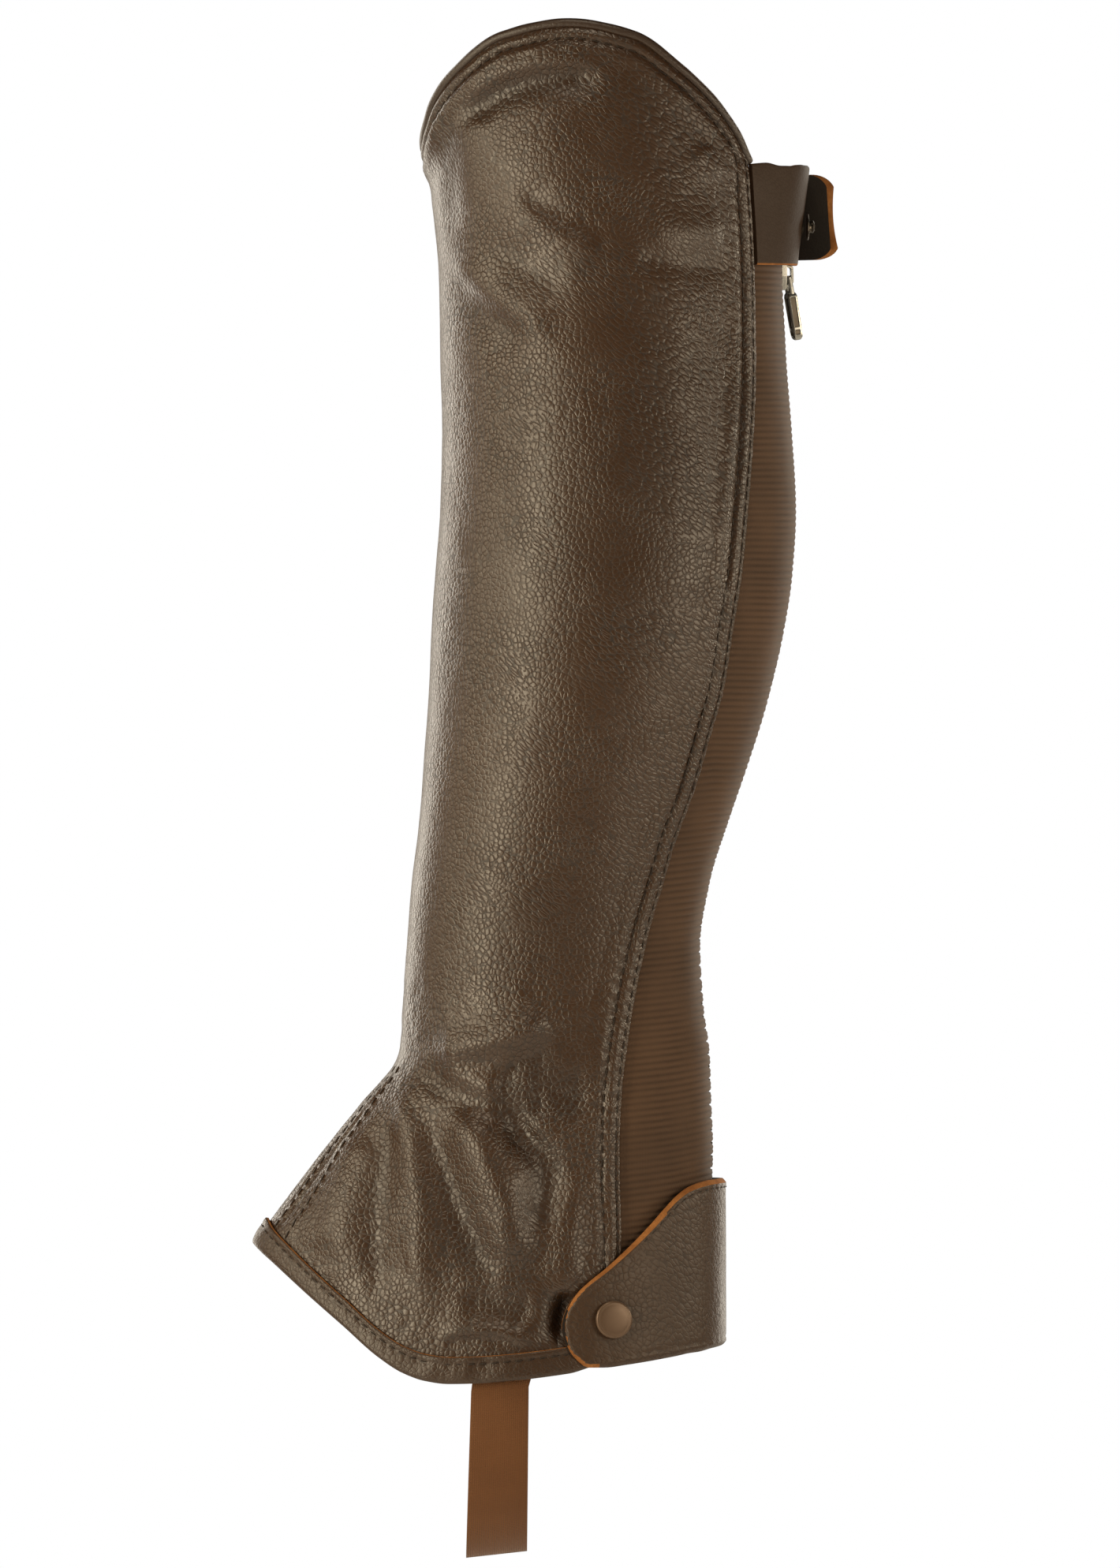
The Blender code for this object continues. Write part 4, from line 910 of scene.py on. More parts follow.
# name: side, half widths to the right and left of the way it runs, push outwards, and its points
# (x, z) seen from the side. Several widths or pushes are spread evenly along it.
creases = {
    # the ankle's fold, and what it draws with it
    "foldTop": (1, (3, 2.6, 3.0, 7, 8, 7, 6, 6), (10, 15, 20, 3.6, 7.5, 10, 11, 9),
        (-0.7, -1.4, -1.5, -3.0, -2.1, -1.4, -1.1, -1.1), (
        (-20.2, -177.2), (-19.0, -182.3), (-22.7, -187.9), (-29.7, -192.4), (-36.4, -195.7),
        (-40.3, -201.9), (-40.0, -208.0), (-35.3, -215.6), (-30.2, -223.2), (-25.8, -230.2),
        (-24.1, -237.4), (-26.9, -246.4), (-32.5, -255.1), (-34.7, -266.0), (-33.0, -277.2),
        (-28.6, -288.4),
    )),
    "bulgeEdge": (1, 7.0, 12.0, -1.7, ((-33.6, -209.7), (-23.5, -208.9), (-12.3, -209.4), (-2.5, -211.1))),
    "browTop": (1, 5.0, 8.0, 2.4, ((-66.9, -193.2), (-51.5, -189.3), (-37.5, -185.4), (-22.4, -179.2))),
    "wedge": (1, 4.0, 4.0, 0.8, ((-63.8, -196.6), (-54.3, -199.9), (-47.0, -203.3), (-42.6, -206.6))),
    "wedgeDark": (1, 5.5, 5.5, -1.2, (
        (-73.9, -196.0), (-61.0, -205.5), (-49.3, -212.2), (-38.6, -220.6), (-32.5, -229.6),
    )),
    "instepRidge": (1, 9.0, 7.0, 3.0, (
        (-57.7, -207.8), (-50.4, -220.6), (-44.2, -234.6), (-38.6, -248.1), (-35.8, -260.4),
        (-35.3, -271.6),
    )),
    "instepFold": (1, 6.5, 6.0, -1.7, (
        (-73.9, -203.3), (-68.3, -218.4), (-62.7, -233.0), (-56.6, -248.1), (-49.8, -262.6),
        (-43.7, -277.2),
    )),
    "footRidge": (1, 6.5, 7.0, 1.6, (
        (-77.3, -203.3), (-72.8, -221.2), (-71.1, -238.0), (-70.6, -254.8), (-70.0, -280.0),
    )),
    "footFold": (1, 5.5, 5.0, -1.2, (
        (-79.5, -210.0), (-82.3, -223.4), (-84.6, -238.0), (-85.7, -254.8), (-85.1, -280.0),
    )),
    "toeRidge": (1, 8.0, 7.0, 1.1, ((-89.0, -218.4), (-95.8, -234.6), (-99.1, -249.2), (-99.7, -267.7))),
    "smallRidge": (1, 4.0, 4.5, 0.7, ((-49.8, -214.5), (-41.4, -223.4), (-34.7, -233.0), (-32.5, -240.2))),
    "heelCrest": (1, 8.0, 6.0, 1.1, ((-15.1, -229.6), (-16.8, -249.2), (-17.9, -266.0), (-15.7, -278.9))),
    "heelDip": (1, 4.5, 7.5, -3.2, ((-16.2, -275.5), (-19.6, -283.9), (-19.6, -291.2), (-17.4, -297.4))),
    "hemHollow": (1, 6.0, 6.0, -1.1, ((-56.0, -277.2), (-43.1, -281.1), (-29.1, -285.0))),
    "hemRidge": (1, 2.6, 3.0, 1.0, ((-63.8, -291.8), (-51.5, -290.1), (-40.3, -290.9), (-28.6, -294.6))),
    "hemLine": (1, 1.8, 1.8, -0.8, ((-63.0, -294.3), (-51.0, -292.6), (-42.0, -293.0), (-34.0, -296.5))),
    "heelSide": (1, 4.5, 4.5, -0.8, ((-5.0, -226.0), (-6.5, -246.0), (-7.0, -266.0))),
    # the knee end
    "kneeRidge": (1, 5.0, 6.5, 1.1, (
        (-58.8, 94.6), (-52.6, 84.6), (-43.1, 76.2), (-32.5, 68.9), (-23.5, 58.8),
    )),
    "kneeFold": (1, 4.5, 7.0, -0.7, ((-47.0, 98.0), (-38.1, 89.6), (-28.6, 83.4), (-20.2, 75.6))),
    "kneeFoldLow": (1, 7.5, 6.5, -0.9, ((-61.0, 83.4), (-53.2, 74.5), (-43.1, 65.5), (-33.6, 56.6))),
    "archRidge": (1, 6.0, 6.0, 0.7, ((-34.2, 105.0), (-26.0, 101.4), (-14.0, 96.6), (-5.0, 92.1))),
    "archFold": (1, 3.6, 5.0, -0.7, (
        (-37.0, 115.4), (-30.0, 110.0), (-22.1, 104.4), (-10.9, 99.1), (-3.1, 91.0),
    )),
    "backSoft": (1, 7.0, 7.0, 0.7, ((8.0, 101.0), (22.0, 99.5), (40.0, 99.5))),
    "backFold": (1, 5.5, 5.5, -0.6, ((6.0, 93.0), (14.0, 89.0), (26.0, 87.5), (40.0, 86.0))),
    "archBrow": (1, 4.4, 5.0, 1.9, (
        (-58.5, 142.5), (-47.9, 152.9), (-33.9, 158.2), (-15.1, 159.6), (-5.9, 157.1),
    )),
    "archBrowLow": (1, 5.5, 6.0, -1.7, (
        (-57.1, 136.1), (-47.9, 144.5), (-33.9, 150.9), (-18.8, 152.9), (-3.9, 150.9),
    )),
    "cornerBump": (1, 5.0, 4.0, 0.9, ((28.0, 129.9), (32.5, 124.3), (35.8, 117.0))),
    "shinLong": (1, 5.5, 5.5, -0.9, ((-60.8, 138.0), (-60.5, 120.1), (-59.6, 98.0))),
    # the inner side
    "innerFold": (-1, (4, 4, 5, 7, 8, 7), (9, 12, 12, 6, 8, 9), (-0.6, -1.2, -1.8, -2.0, -1.5, -0.9), (
        (-8.0, -172.0), (-18.0, -178.0), (-30.0, -186.0), (-39.0, -198.0), (-38.0, -210.0),
        (-30.0, -222.0), (-26.0, -238.0), (-31.0, -256.0),
    )),
    "innerBrow": (-1, 6.5, 6.5, 1.4, ((-68.0, -190.0), (-48.0, -185.0), (-32.0, -179.0), (-16.0, -170.0))),
    "innerBack": (-1, 6.5, 9.0, 1.0, ((-28.0, -214.0), (-18.0, -226.0), (-14.0, -244.0))),
    "innerInstep": (-1, 7.5, 8.5, 1.6, (
        (-70.0, -206.0), (-56.0, -224.0), (-46.0, -243.0), (-42.0, -264.0),
    )),
    "innerInstepFold": (-1, 7.0, 7.0, -1.1, (
        (-78.0, -208.0), (-68.0, -228.0), (-60.0, -248.0), (-54.0, -270.0),
    )),
    "innerFootRidge": (-1, 8.0, 8.0, 0.9, ((-88.0, -218.0), (-86.0, -240.0), (-80.0, -268.0))),
    "innerHeelFold": (-1, 8.0, 9.0, -0.8, ((12.0, -180.0), (1.0, -190.0), (-12.0, -197.0))),
    "innerHeelRidge": (-1, 9.0, 9.0, 0.7, ((12.0, -194.0), (1.0, -205.0), (-6.0, -218.0))),
    "innerHemHollow": (-1, 8.0, 8.0, -0.9, ((-58.0, -276.0), (-42.0, -281.0), (-26.0, -282.0))),
    "innerKneeFold": (-1, 7.0, 8.0, -0.8, ((-60.0, 92.0), (-49.0, 80.0), (-36.0, 70.0), (-26.0, 66.0))),
    "innerKneeRidge": (-1, 8.0, 7.0, 0.8, ((-60.0, 104.0), (-46.0, 93.0), (-28.0, 84.0), (-14.0, 80.0))),
    "innerBackFold": (-1, 9.0, 8.0, -0.6, ((-4.0, 92.0), (14.0, 90.0), (30.0, 86.0))),
    "innerBackRidge": (-1, 8.0, 8.0, 0.5, ((4.0, 103.0), (20.0, 101.0), (34.0, 97.0))),
    "innerCalfSoft": (-1, 12.0, 12.0, -0.5, ((-20.0, 30.0), (0.0, 22.0), (24.0, 18.0))),
    "innerShinSoft": (-1, 12.0, 12.0, -0.5, ((-30.0, -60.0), (-12.0, -72.0), (8.0, -78.0))),
}


def bowed(line, step=1.2):
    # a smooth line through a few points
    line = np.asarray(line, float)
    spans = np.concatenate([[0], np.cumsum(np.linalg.norm(np.diff(line, axis=0), axis=1))])
    at = np.linspace(0, spans[-1], max(3, int(spans[-1] / step)))
    if len(line) < 3:
        return np.stack([np.interp(at, spans, line[:, k]) for k in range(line.shape[1])], -1)
    slopes = np.gradient(line, spans, axis=0)
    i = np.clip(np.searchsorted(spans, at) - 1, 0, len(line) - 2)
    wide = spans[i + 1] - spans[i]
    u = ((at - spans[i]) / wide)[:, None]
    wide = wide[:, None]
    return (
        (2 * u**3 - 3 * u**2 + 1) * line[i] + (u**3 - 2 * u**2 + u) * wide * slopes[i]
        + (-2 * u**3 + 3 * u**2) * line[i + 1] + (u**3 - u**2) * wide * slopes[i + 1]
    )


creaseLines = [(*row[:4], bowed(row[4])) for row in creases.values()]


def creasePush(points):
    flat = points.reshape(-1, 3)
    total = np.zeros(len(flat))
    for side, right, left, push, line in creaseLines:
        wide = 3 * np.max([np.max(right), np.max(left)])
        low, high = line.min(0) - wide, line.max(0) + wide
        seen = flat[:, [0, 2]]
        near = (seen > low).all(1) & (seen < high).all(1) & (-side * flat[:, 1] > 0)
        spots = seen[near]
        if not len(spots):
            continue
        start, step = line[:-1], np.diff(line, axis=0)
        offset = spots[:, None] - start[None]
        share = np.clip((offset * step).sum(-1) / (step**2).sum(-1), 0, 1)
        toLine = offset - share[..., None] * step
        gap = np.linalg.norm(toLine, axis=-1)
        k = gap.argmin(1)
        pick = np.arange(len(k))
        along = (k + share[pick, k]) / len(step)
        right, left, push = (
            np.interp(along, np.linspace(0, 1, len(values)), values)
            for values in map(np.atleast_1d, (right, left, push))
        )
        push = push * leather["creased"]
        fade = np.clip(np.minimum(along, 1 - along) / leather["faded"], 0, 1)
        fade = fade * fade * (3 - 2 * fade)
        cross = step[k, 0] * toLine[pick, k, 1] - step[k, 1] * toLine[pick, k, 0]
        # no step where the line's two sides meet past its ends
        lean = cross / np.maximum(gap[pick, k] * np.linalg.norm(step[k], axis=1), 1e-6)
        half = (right + left) / 2 + (left - right) / 2 * np.clip(lean, -1, 1)
        onSide = np.clip(-side * flat[near][:, 1] / 12, 0, 1)
        across = bell(gap[pick, k], 0, half * (0.6 + 0.4 * fade))
        total[near] += push * onSide * (0.08 + 0.92 * fade) * across
    return total.reshape(points.shape[:-1])


class pathField:
    # how far points are from a line on the leather, and how far along it
    def __init__(self, points):
        self.along = np.concatenate([[0], np.cumsum(np.linalg.norm(np.diff(points, axis=0), axis=1))])
        self.tree = KDTree(len(points))
        for k, point in enumerate(points):
            self.tree.insert(point, k)
        self.tree.balance()

    def read(self, points):
        flat = points.reshape(-1, 3)
        found = [self.tree.find(point) for point in flat]
        gaps = np.array([hit[2] for hit in found]).reshape(points.shape[:-1])
        along = self.along[[hit[1] for hit in found]].reshape(points.shape[:-1])
        return gaps, along


fineShares = np.linspace(0, 1, 900)
fineTop, fineBottom = rimAndHem(fineShares)
rimAngles = leatherAngle(fineShares, fineTop)
hemAngles = leatherAngle(fineShares, fineBottom)
seamHeights = np.linspace(fineTop[0], fineBottom[0], 900)
dartHeights = np.linspace(leg["ankleBend"], leather["ridgeEnd"], 200)
rimField = pathField(skin(rimAngles, fineTop))
hemField = pathField(skin(hemAngles, fineBottom))
seamField = pathField(skin(seamAngle(seamHeights), seamHeights))
zipField = pathField(skin(leatherEdgeAngle(seamHeights), seamHeights))
dartField = pathField(skin(0 * dartHeights, dartHeights))
rimRise = smoothCurve(leather["rimProfile"])
seamRise = smoothCurve(leather["seamProfile"])
dartRise = smoothCurve(leather["dartProfile"])


def waves(points, scale, seed):
    flat = points.reshape(-1, 3)
    values = [noise.noise(Vector((p[0] * scale + seed, p[1] * scale, p[2] * scale * 0.8))) for p in flat]
    return np.array(values).reshape(points.shape[:-1])


def leatherRise(base):
    # how far the finished leather stands off its plain round
    push = creasePush(base)
    rimGap, rimAlong = rimField.read(base)
    seamGap, seamAlong = seamField.read(base)
    hemGap, hemAlong = hemField.read(base)
    dartGap, dartAlong = dartField.read(base)
    zipGap = zipField.read(base)[0]
    ankle = np.clip((-145 - base[..., 2]) / 30, 0, 1)
    sway = leather["sway"] * (1 - ankle) + leather["swayAnkle"] * ankle
    push = push + sway * (waves(base, 0.055, 3.1) + 0.5 * waves(base, 0.14, 8.2))
    push = push + ankle * 0.16 * (1 - 2 * np.abs(waves(base, 0.16, 4.4)))
    # the strips beside the seams lie flatter than the panel
    for gap, start, reach, least in ((seamGap, 6, 10, 0.25), (rimGap, 5, 8, 0.35), (dartGap, 3, 8, 0.2)):
        push = push * np.clip((gap - start) / reach, least, 1)
    # rim
    left = np.clip((-base[..., 0] - 5) / 20, 0, 1)
    strong = np.where(rimGap > 4.6, 0.75 + 0.6 * left, 1.0)
    fade = np.clip((seamGap - 3.0) / 4, 0, 1)
    uneven = 0.75 + 0.5 * (waves(base, 0.12, 21.0) + 0.5)
    wrinkle = np.sin(2 * math.pi * rimAlong / leather["pucker"] + 2.5 * waves(base, 0.05, 31.0))
    push = push + fade * rimRise(rimGap) * strong * np.where(rimGap > 4.6, uneven, 1.0)
    push = push + fade * 0.13 * wrinkle * bell(rimGap, 5.6, 1.6) * uneven
    # gusset seam
    above = np.clip((hemGap - leather["hemZone"]) / 8, 0, 1)
    beneath = np.clip((rimGap - 1.0) / 3, 0, 1)
    lean = 2 * math.pi * (seamAlong + 0.35 * seamGap) / leather["pucker"]
    wrinkle = np.sin(lean + 2.2 * waves(base, 0.045, 51.0))
    uneven = 0.6 + 0.9 * np.clip(waves(base, 0.06, 61.0) + 0.5, 0, 1)
    push = push + above * beneath * seamRise(seamGap)
    tucks = sum(size * bell(seamGap, middle, width) for size, middle, width in leather["seamTucks"])
    push = push + above * beneath * wrinkle * uneven * tucks
    height, reach, middle, width = leather["strip"]
    strip = (0.8 + 0.3 * wrinkle) * bell(seamGap, middle, width)
    size, middle, width = leather["stripFold"]
    upper = bell(base[..., 2], height, reach)
    push = push + beneath * upper * (strip - size * bell(seamGap, middle, width))
    # instep
    ends = np.clip(dartAlong / 8, 0, 1) * above
    push = push + ends * dartRise(dartGap)
    wrinkle = np.sin(2 * math.pi * dartAlong / 4.2 + 2.0 * waves(base, 0.06, 71.0))
    push = push + ends * 0.1 * wrinkle * bell(dartGap, 7.0, 1.8)
    # the zip's side
    push = push + above * np.interp(zipGap, *zip(*leather["zipProfile"]))
    # just above the binding, the leather is drawn into small tucks
    tuck = np.sin(2 * math.pi * hemAlong / 9.2 + 3 * waves(base, 0.05, 81.0))
    push = push + 0.16 * tuck * bell(hemGap, 13.5, 3.5)
    return push * np.clip((hemGap - leather["hemZone"] + 1) / 7, 0, 1)


def leatherPoint(angles, heights, out):
    base = skin(angles, heights)
    away = outward(angles, heights)
    return base + away * (leatherRise(base) + out)[..., None], away


def makeLeatherUpper():
    spacing = smoothCurve(leather["rowSpacing"])
    up = [0.0]
    while up[-1] < 1.0:
        up.append(up[-1] + float(spacing(up[-1])) / leather["tall"])
    up = np.array(up) / up[-1]
    shin = leg["shinShare"]
    across = np.concatenate([
        [0.0, 0.0012, 0.0028, 0.005, 0.008, 0.0115],
        np.linspace(0.0155, shin, leather["outerColumns"]),
        np.linspace(shin, 0.985, leather["innerColumns"])[1:], [0.99, 0.994, 0.998, 1.0],
    ])
    top, bottom = rimAndHem(across)
    heights = bottom + (top - bottom) * up[:, None]
    angles = leatherAngle(across, heights)
    base, away = skin(angles, heights), outward(angles, heights)
    rise = leatherRise(base)
    outer = base + away * rise[..., None]
    innerUp = up[::4] if (len(up) - 1) % 4 == 0 else np.append(up[::4], 1.0)
    heights = bottom + (top - bottom) * innerUp[:, None]
    angles = leatherAngle(across, heights)
    inner = skin(angles, heights) - outward(angles, heights) * leather["thick"]
    creased = creasePush(skin(angles, heights))
    inner = inner + outward(angles, heights) * creased[..., None]
    piece = makeWall("leatherUpper", outer, inner, [brownLeather, brownSuede, brownLeather])
    plain = np.zeros(inner.shape[0] * inner.shape[1])
    # the outer face's rise, which the leather's finish reads to paint shade into its creases
    addAttribute(piece, "crease", np.concatenate([rise.ravel() / 2.4, plain]))
    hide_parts("leather_upper")
    print("leather:", len(up), "rows,", len(across), "columns")
    return piece


leatherUpper = makeLeatherUpper()


def sewingBeside(angles, heights, distance, kept, out=0.18):
    # the row of stitches that runs beside an edge, where it keeps clear of the others
    angles, heights = besideLine(angles, heights, distance)
    keep = kept(skin(angles, heights))
    return leatherPoint(angles[keep], heights[keep], out)


def makeLeatherSewing():
    rimClear, seamClear, zipClear, hemClear = (
        lambda points, field=field: field.read(points)[0]
        for field in (rimField, seamField, zipField, hemField)
    )
    rimGap, hem = leather["rimRow"], leather["hemZone"]
    half = seamHeights[::2]
    rows = [sewingBeside(
        rimAngles[::2], fineTop[::2], rimGap,
        lambda points: (seamClear(points) > 6.2) & (zipClear(points) > 3.0),
    )]
    for gap, least in leather["seamRows"]:
        rows.append(sewingBeside(
            seamAngle(half), half, gap,
            lambda points: (rimClear(points) > least) & (hemClear(points) > hem + 1.5),
        ))
    for gap in leather["ridgeRows"]:
        rows.append(sewingBeside(
            0 * dartHeights[::2], dartHeights[::2], gap,
            lambda points: (hemClear(points) > hem + 1.0) & (points[:, 2] < leg["ankleBend"] - 3), 0.12,
        ))
    rows.append(sewingBeside(
        leatherEdgeAngle(half), half, leather["zipRow"],
        lambda points: (rimClear(points) > rimGap) & (hemClear(points) > hem + 1.0),
    ))
    piece = sewRows("leatherSewing", rows, pitch=4.55, long=3.3, thick=0.72, seed=3)
    return piece


leatherSewing = makeLeatherSewing()
print("leather sewn")


# rolled rim
piping = {"radius": 1.68, "gap": -0.12, "sides": 14}


def makeRimPiping():
    shares = np.linspace(0, 1, 420)
    top, _ = rimAndHem(shares)
    angles = leatherAngle(shares, top)
    edge = skin(angles, top) - outward(angles, top) * leather["thick"] / 2
    away = unit(np.cross(unit(np.gradient(edge, axis=0)), outward(angles, top)))
    away *= np.sign(away[:, 2:])
    centres = edge + away * (piping["radius"] + piping["gap"])
    along = unit(np.gradient(centres, axis=0))
    side = unit(np.cross(along, away))
    turns = np.arange(piping["sides"]) * 2 * math.pi / piping["sides"]
    wander = 1 + 0.035 * np.sin(np.linspace(0, 150, len(shares))) * np.sin(np.linspace(0, 31, len(shares)))
    ring = np.cos(turns)[None, :, None] * away[:, None] + np.sin(turns)[None, :, None] * side[:, None]
    radius = piping["radius"] * wander[:, None, None]
    rings = centres[:, None] + ring * radius
    # rounded ends
    caps = []
    for end, way in ((0, -1), (-1, 1)):
        for part in (0.45, 0.8, 0.97):
            middle = centres[end] + way * along[end] * part * piping["radius"] * 0.7
            caps.append(middle + ring[end] * piping["radius"] * math.sqrt(1 - part**2))
    rings = np.concatenate([np.array(caps[:3][::-1]), rings, np.array(caps[3:])])
    piece = makePiece("rimPiping", rings.reshape(-1, 3), [tubeFaces(rings)], [smoothLeather], sharpAt=70.0)
    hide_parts("rim_piping")
    return piece


rimPiping = makeRimPiping()


# bound hem
binding = {
    "width": 9.5,
    # distance up from the hem's edge, distance out from the leather, finish (0 leather, 1 raw)
    "section": (
        (0.9, 0.5, 0), (0.15, 0.62, 0), (-0.12, 1.05, 0), (0.1, 1.5, 0), (0.75, 1.86, 0), (1.7, 2.0, 0),
        (3.0, 1.9, 0), (4.6, 1.84, 0), (6.0, 1.72, 0), (6.8, 1.5, 0), (7.5, 1.75, 0), (8.3, 1.9, 0),
        (9.0, 1.84, 0), (9.25, 1.6, 1), (9.5, 0.95, 1), (9.35, 0.5, 0), (5.0, 0.5, 0),
    ),
}


def bindingSpot(shares, bottom, distance):
    foot = skin(leatherAngle(shares, bottom), bottom)
    above = skin(leatherAngle(shares, bottom + 4.0), bottom + 4.0)
    rise = unit(above - foot)[:, 2]
    heights = bottom + rise * distance
    return leatherAngle(shares, heights), heights


def makeHemBinding():
    shares = np.linspace(0, 1, 420)
    _, bottom = rimAndHem(shares)
    rings = []
    for up, out, _ in binding["section"]:
        angles, heights = bindingSpot(shares, bottom, np.full(shares.shape, max(up, 0.0)))
        base, away = skin(angles, heights), outward(angles, heights)
        if up < 0:
            base[:, 2] += up
        sway = 0.0
        if out > 1.2:
            rumpled = bell(base[..., 0], -54, 16) * (base[..., 1] < 0)
            tuck = np.sin(2 * math.pi * hemField.read(base)[1] / leather["pucker"]) * bell(up, 5.6, 1.4)
            sway = (0.16 + 0.9 * rumpled) * waves(base, 0.11, 5.0) + 0.10 * tuck
        rings.append(base + away * (out + sway)[..., None] if np.ndim(sway) else base + away * out)
    rings = np.array(rings)
    ids = np.arange(rings.shape[0] * rings.shape[1]).reshape(rings.shape[:2])
    looped = np.concatenate([ids, ids[:1]], 0)
    raw = [row[2] for row in binding["section"]] + [0]
    skinFaces, rawFaces = [], []
    for i in range(len(looped) - 1):
        target = rawFaces if raw[i] else skinFaces
        target += gridFaces(looped[i:i + 2]).tolist()
    ends = [tuple(ids[:, 0][::-1]), tuple(ids[:, -1])]
    faces = [skinFaces, rawFaces + ends]
    piece = makePiece("hemBinding", rings.reshape(-1, 3), faces, [hemLeather, tanEdge], sharpAt=60.0)
    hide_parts("hem_binding")
    angles, heights = bindingSpot(shares, bottom, np.full(shares.shape, 6.8))
    base, away = skin(angles, heights), outward(angles, heights)
    sewing = sewRows("hemSewing", [(base + away * 1.62, away)], pitch=4.3, long=3.0, thick=0.7, seed=8)
    return piece, sewing


hemBinding, hemSewing = makeHemBinding()
print("rim rolled, hem bound")


# elastic gusset
gusset = {
    "top": 90.0, "ribs": 169, "ribPitch": 2.3, "depth": 0.36, "out": -0.9, "thick": 1.4, "rowsPerRib": 8,
    "columns": 26, "edgeGap": 0.5, "tuck": 0.9,
}


def makeRibTree():
    # lowers the grooves of a sheet whose "rib" attribute counts the ribs
    tree, given, out = newTree("raisedRibs", [
        ("Depth", "Float", 0.0006), ("Roundness", "Float", 0.5), ("Elastic", "Material", None),
    ])
    rib, amount = treeAttribute(tree, "rib", "FLOAT"), treeAttribute(tree, "raise", "FLOAT")
    turn = treeMaths(tree, "MULTIPLY", rib, math.pi)
    wave = treeMaths(tree, "ABSOLUTE", treeMaths(tree, "COSINE", turn))
    # 1 in a groove, 0 on a rib
    groove = treeMaths(tree, "POWER", wave, treeMaths(tree, "DIVIDE", 2.0, given.outputs["Roundness"]))
    groove = treeMaths(tree, "MULTIPLY", groove, amount)
    sunk = treeMaths(tree, "MULTIPLY", groove, given.outputs["Depth"])
    feeds = {0: treeAttribute(tree, "outward"), "Scale": treeMaths(tree, "MULTIPLY", sunk, -1.0)}
    scaled = treeNode(tree, "ShaderNodeVectorMath", feeds, operation="SCALE")
    kept = treeNode(tree, "GeometryNodeStoreNamedAttribute", {
        "Geometry": given.outputs["Geometry"], "Name": "groove", "Value": groove,
    }, data_type="FLOAT", domain="POINT")
    feeds = {"Geometry": kept.outputs[0], "Offset": scaled.outputs[0]}
    moved = treeNode(tree, "GeometryNodeSetPosition", feeds)
    return endTree(tree, moved.outputs[0], given.outputs["Elastic"], out)


def gussetSpot(across, row):
    level = gusset["top"] - row * gusset["ribs"] * gusset["ribPitch"]
    first = seamAngle(level)
    angle = first + (zipAngle(0.0, level) - first) * across
    height = gusset["top"] + (hemHeight(skin(angle, level)[..., 0]) - gusset["top"]) * row
    # it starts just under the leather's edge
    first = seamAngle(height) - gusset["tuck"] / leg["backRadius"]
    return first + (zipAngle(0.0, height) - first) * across, height


def makeGusset():
    across = np.linspace(0, 1, gusset["columns"])
    rowCount = gusset["ribs"] * gusset["rowsPerRib"] + 1
    share = np.linspace(0, 1, rowCount)[:, None] + 0 * across
    angles, heights = gussetSpot(across + 0 * share, share)
    base, away = skin(angles, heights), outward(angles, heights)
    rib = share * gusset["ribs"]
    # the zip seam gathers the elastic every second rib, more towards the heel
    low = np.clip((-120 - heights) / 50, 0, 1)
    gather = np.abs(np.sin(math.pi * rib / 2)) * np.clip((across - 0.55) / 0.45, 0, 1) ** 2
    sway = 0.22 * waves(base, 0.05, 12.0) + low * 0.75 * (gather - 0.5) * np.clip((across - 0.6) / 0.4, 0, 1)
    cling = np.clip(1 - across / 0.12, 0, 1) * -0.25
    out = gusset["out"] + sway + cling
    outer = base + away * out[..., None]
    innerRows = share[:: gusset["rowsPerRib"] * 2]
    if innerRows[-1, 0] < 1:
        innerRows = np.concatenate([innerRows, share[-1:]])
    angles, heights = gussetSpot(across + 0 * innerRows, innerRows)
    inner = skin(angles, heights) + outward(angles, heights) * (gusset["out"] - gusset["thick"])
    piece = makeWall("elasticGusset", outer, inner, [brownElastic], body=None, sharpAt=75.0)
    innerCount = inner.shape[0] * inner.shape[1]
    addAttribute(piece, "rib", np.concatenate([rib.ravel(), np.zeros(innerCount)]))
    depth = 0.8 + 0.45 * waves(base, 0.09, 14.0)
    addAttribute(piece, "raise", np.concatenate([depth.ravel(), np.zeros(innerCount)]))
    held = piece.data.attributes.new("outward", "FLOAT_VECTOR", "POINT")
    ways = np.concatenate([away.reshape(-1, 3), np.zeros((innerCount, 3))])
    held.data.foreach_set("vector", ways.astype(np.float32).ravel())
    wide = np.linalg.norm(np.diff(outer, axis=1), axis=2)
    wide = np.concatenate([np.zeros((rowCount, 1)), np.cumsum(wide, 1)], 1) * mm
    uv = np.stack([wide, rib * gusset["ribPitch"] * mm], -1).reshape(-1, 2)
    addUv(piece, np.concatenate([uv, np.zeros((innerCount, 2))]))
    values = {"Depth": gusset["depth"] * mm, "Roundness": 0.62, "Elastic": brownElastic}
    piece = growOn(piece, makeRibTree(), values, "elasticGusset")
    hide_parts("elastic_gusset")
    return piece


elasticGusset = makeGusset()
print("gusset ribbed")


# zip
zipper = {
    "top": 87.0, "chainTop": 78.7, "tapeOut": -1.5, "tapeThick": 1.0, "pitch": 1.6, "toothLong": 3.1,
    "toothTall": 1.05, "toothDeep": 2.0, "out": -0.35,
}


def makeTape(name, node, fromY, toY):
    levels = np.linspace(1, 0, 260)[:, None]
    sides = np.linspace(fromY, toY, 8)
    bottom = hemHeight(leg["zipFoot"]) + 0.5
    heights = bottom + (zipper["top"] - bottom) * levels + 0 * sides
    angles = zipAngle(sides, heights)
    base, away = skin(angles, heights), outward(angles, heights)
    ripple = 0.12 * np.sin(2 * math.pi * heights / 3.1) * bell(sides, (fromY + toY) / 2, 1.4)
    outer = base + away * (zipper["tapeOut"] + ripple)[..., None]
    inner = base + away * (zipper["tapeOut"] - zipper["tapeThick"])
    piece = makeWall(name, outer, inner[::6], [zipCloth, zipCloth, zipCloth])
    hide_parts(node)
    return piece


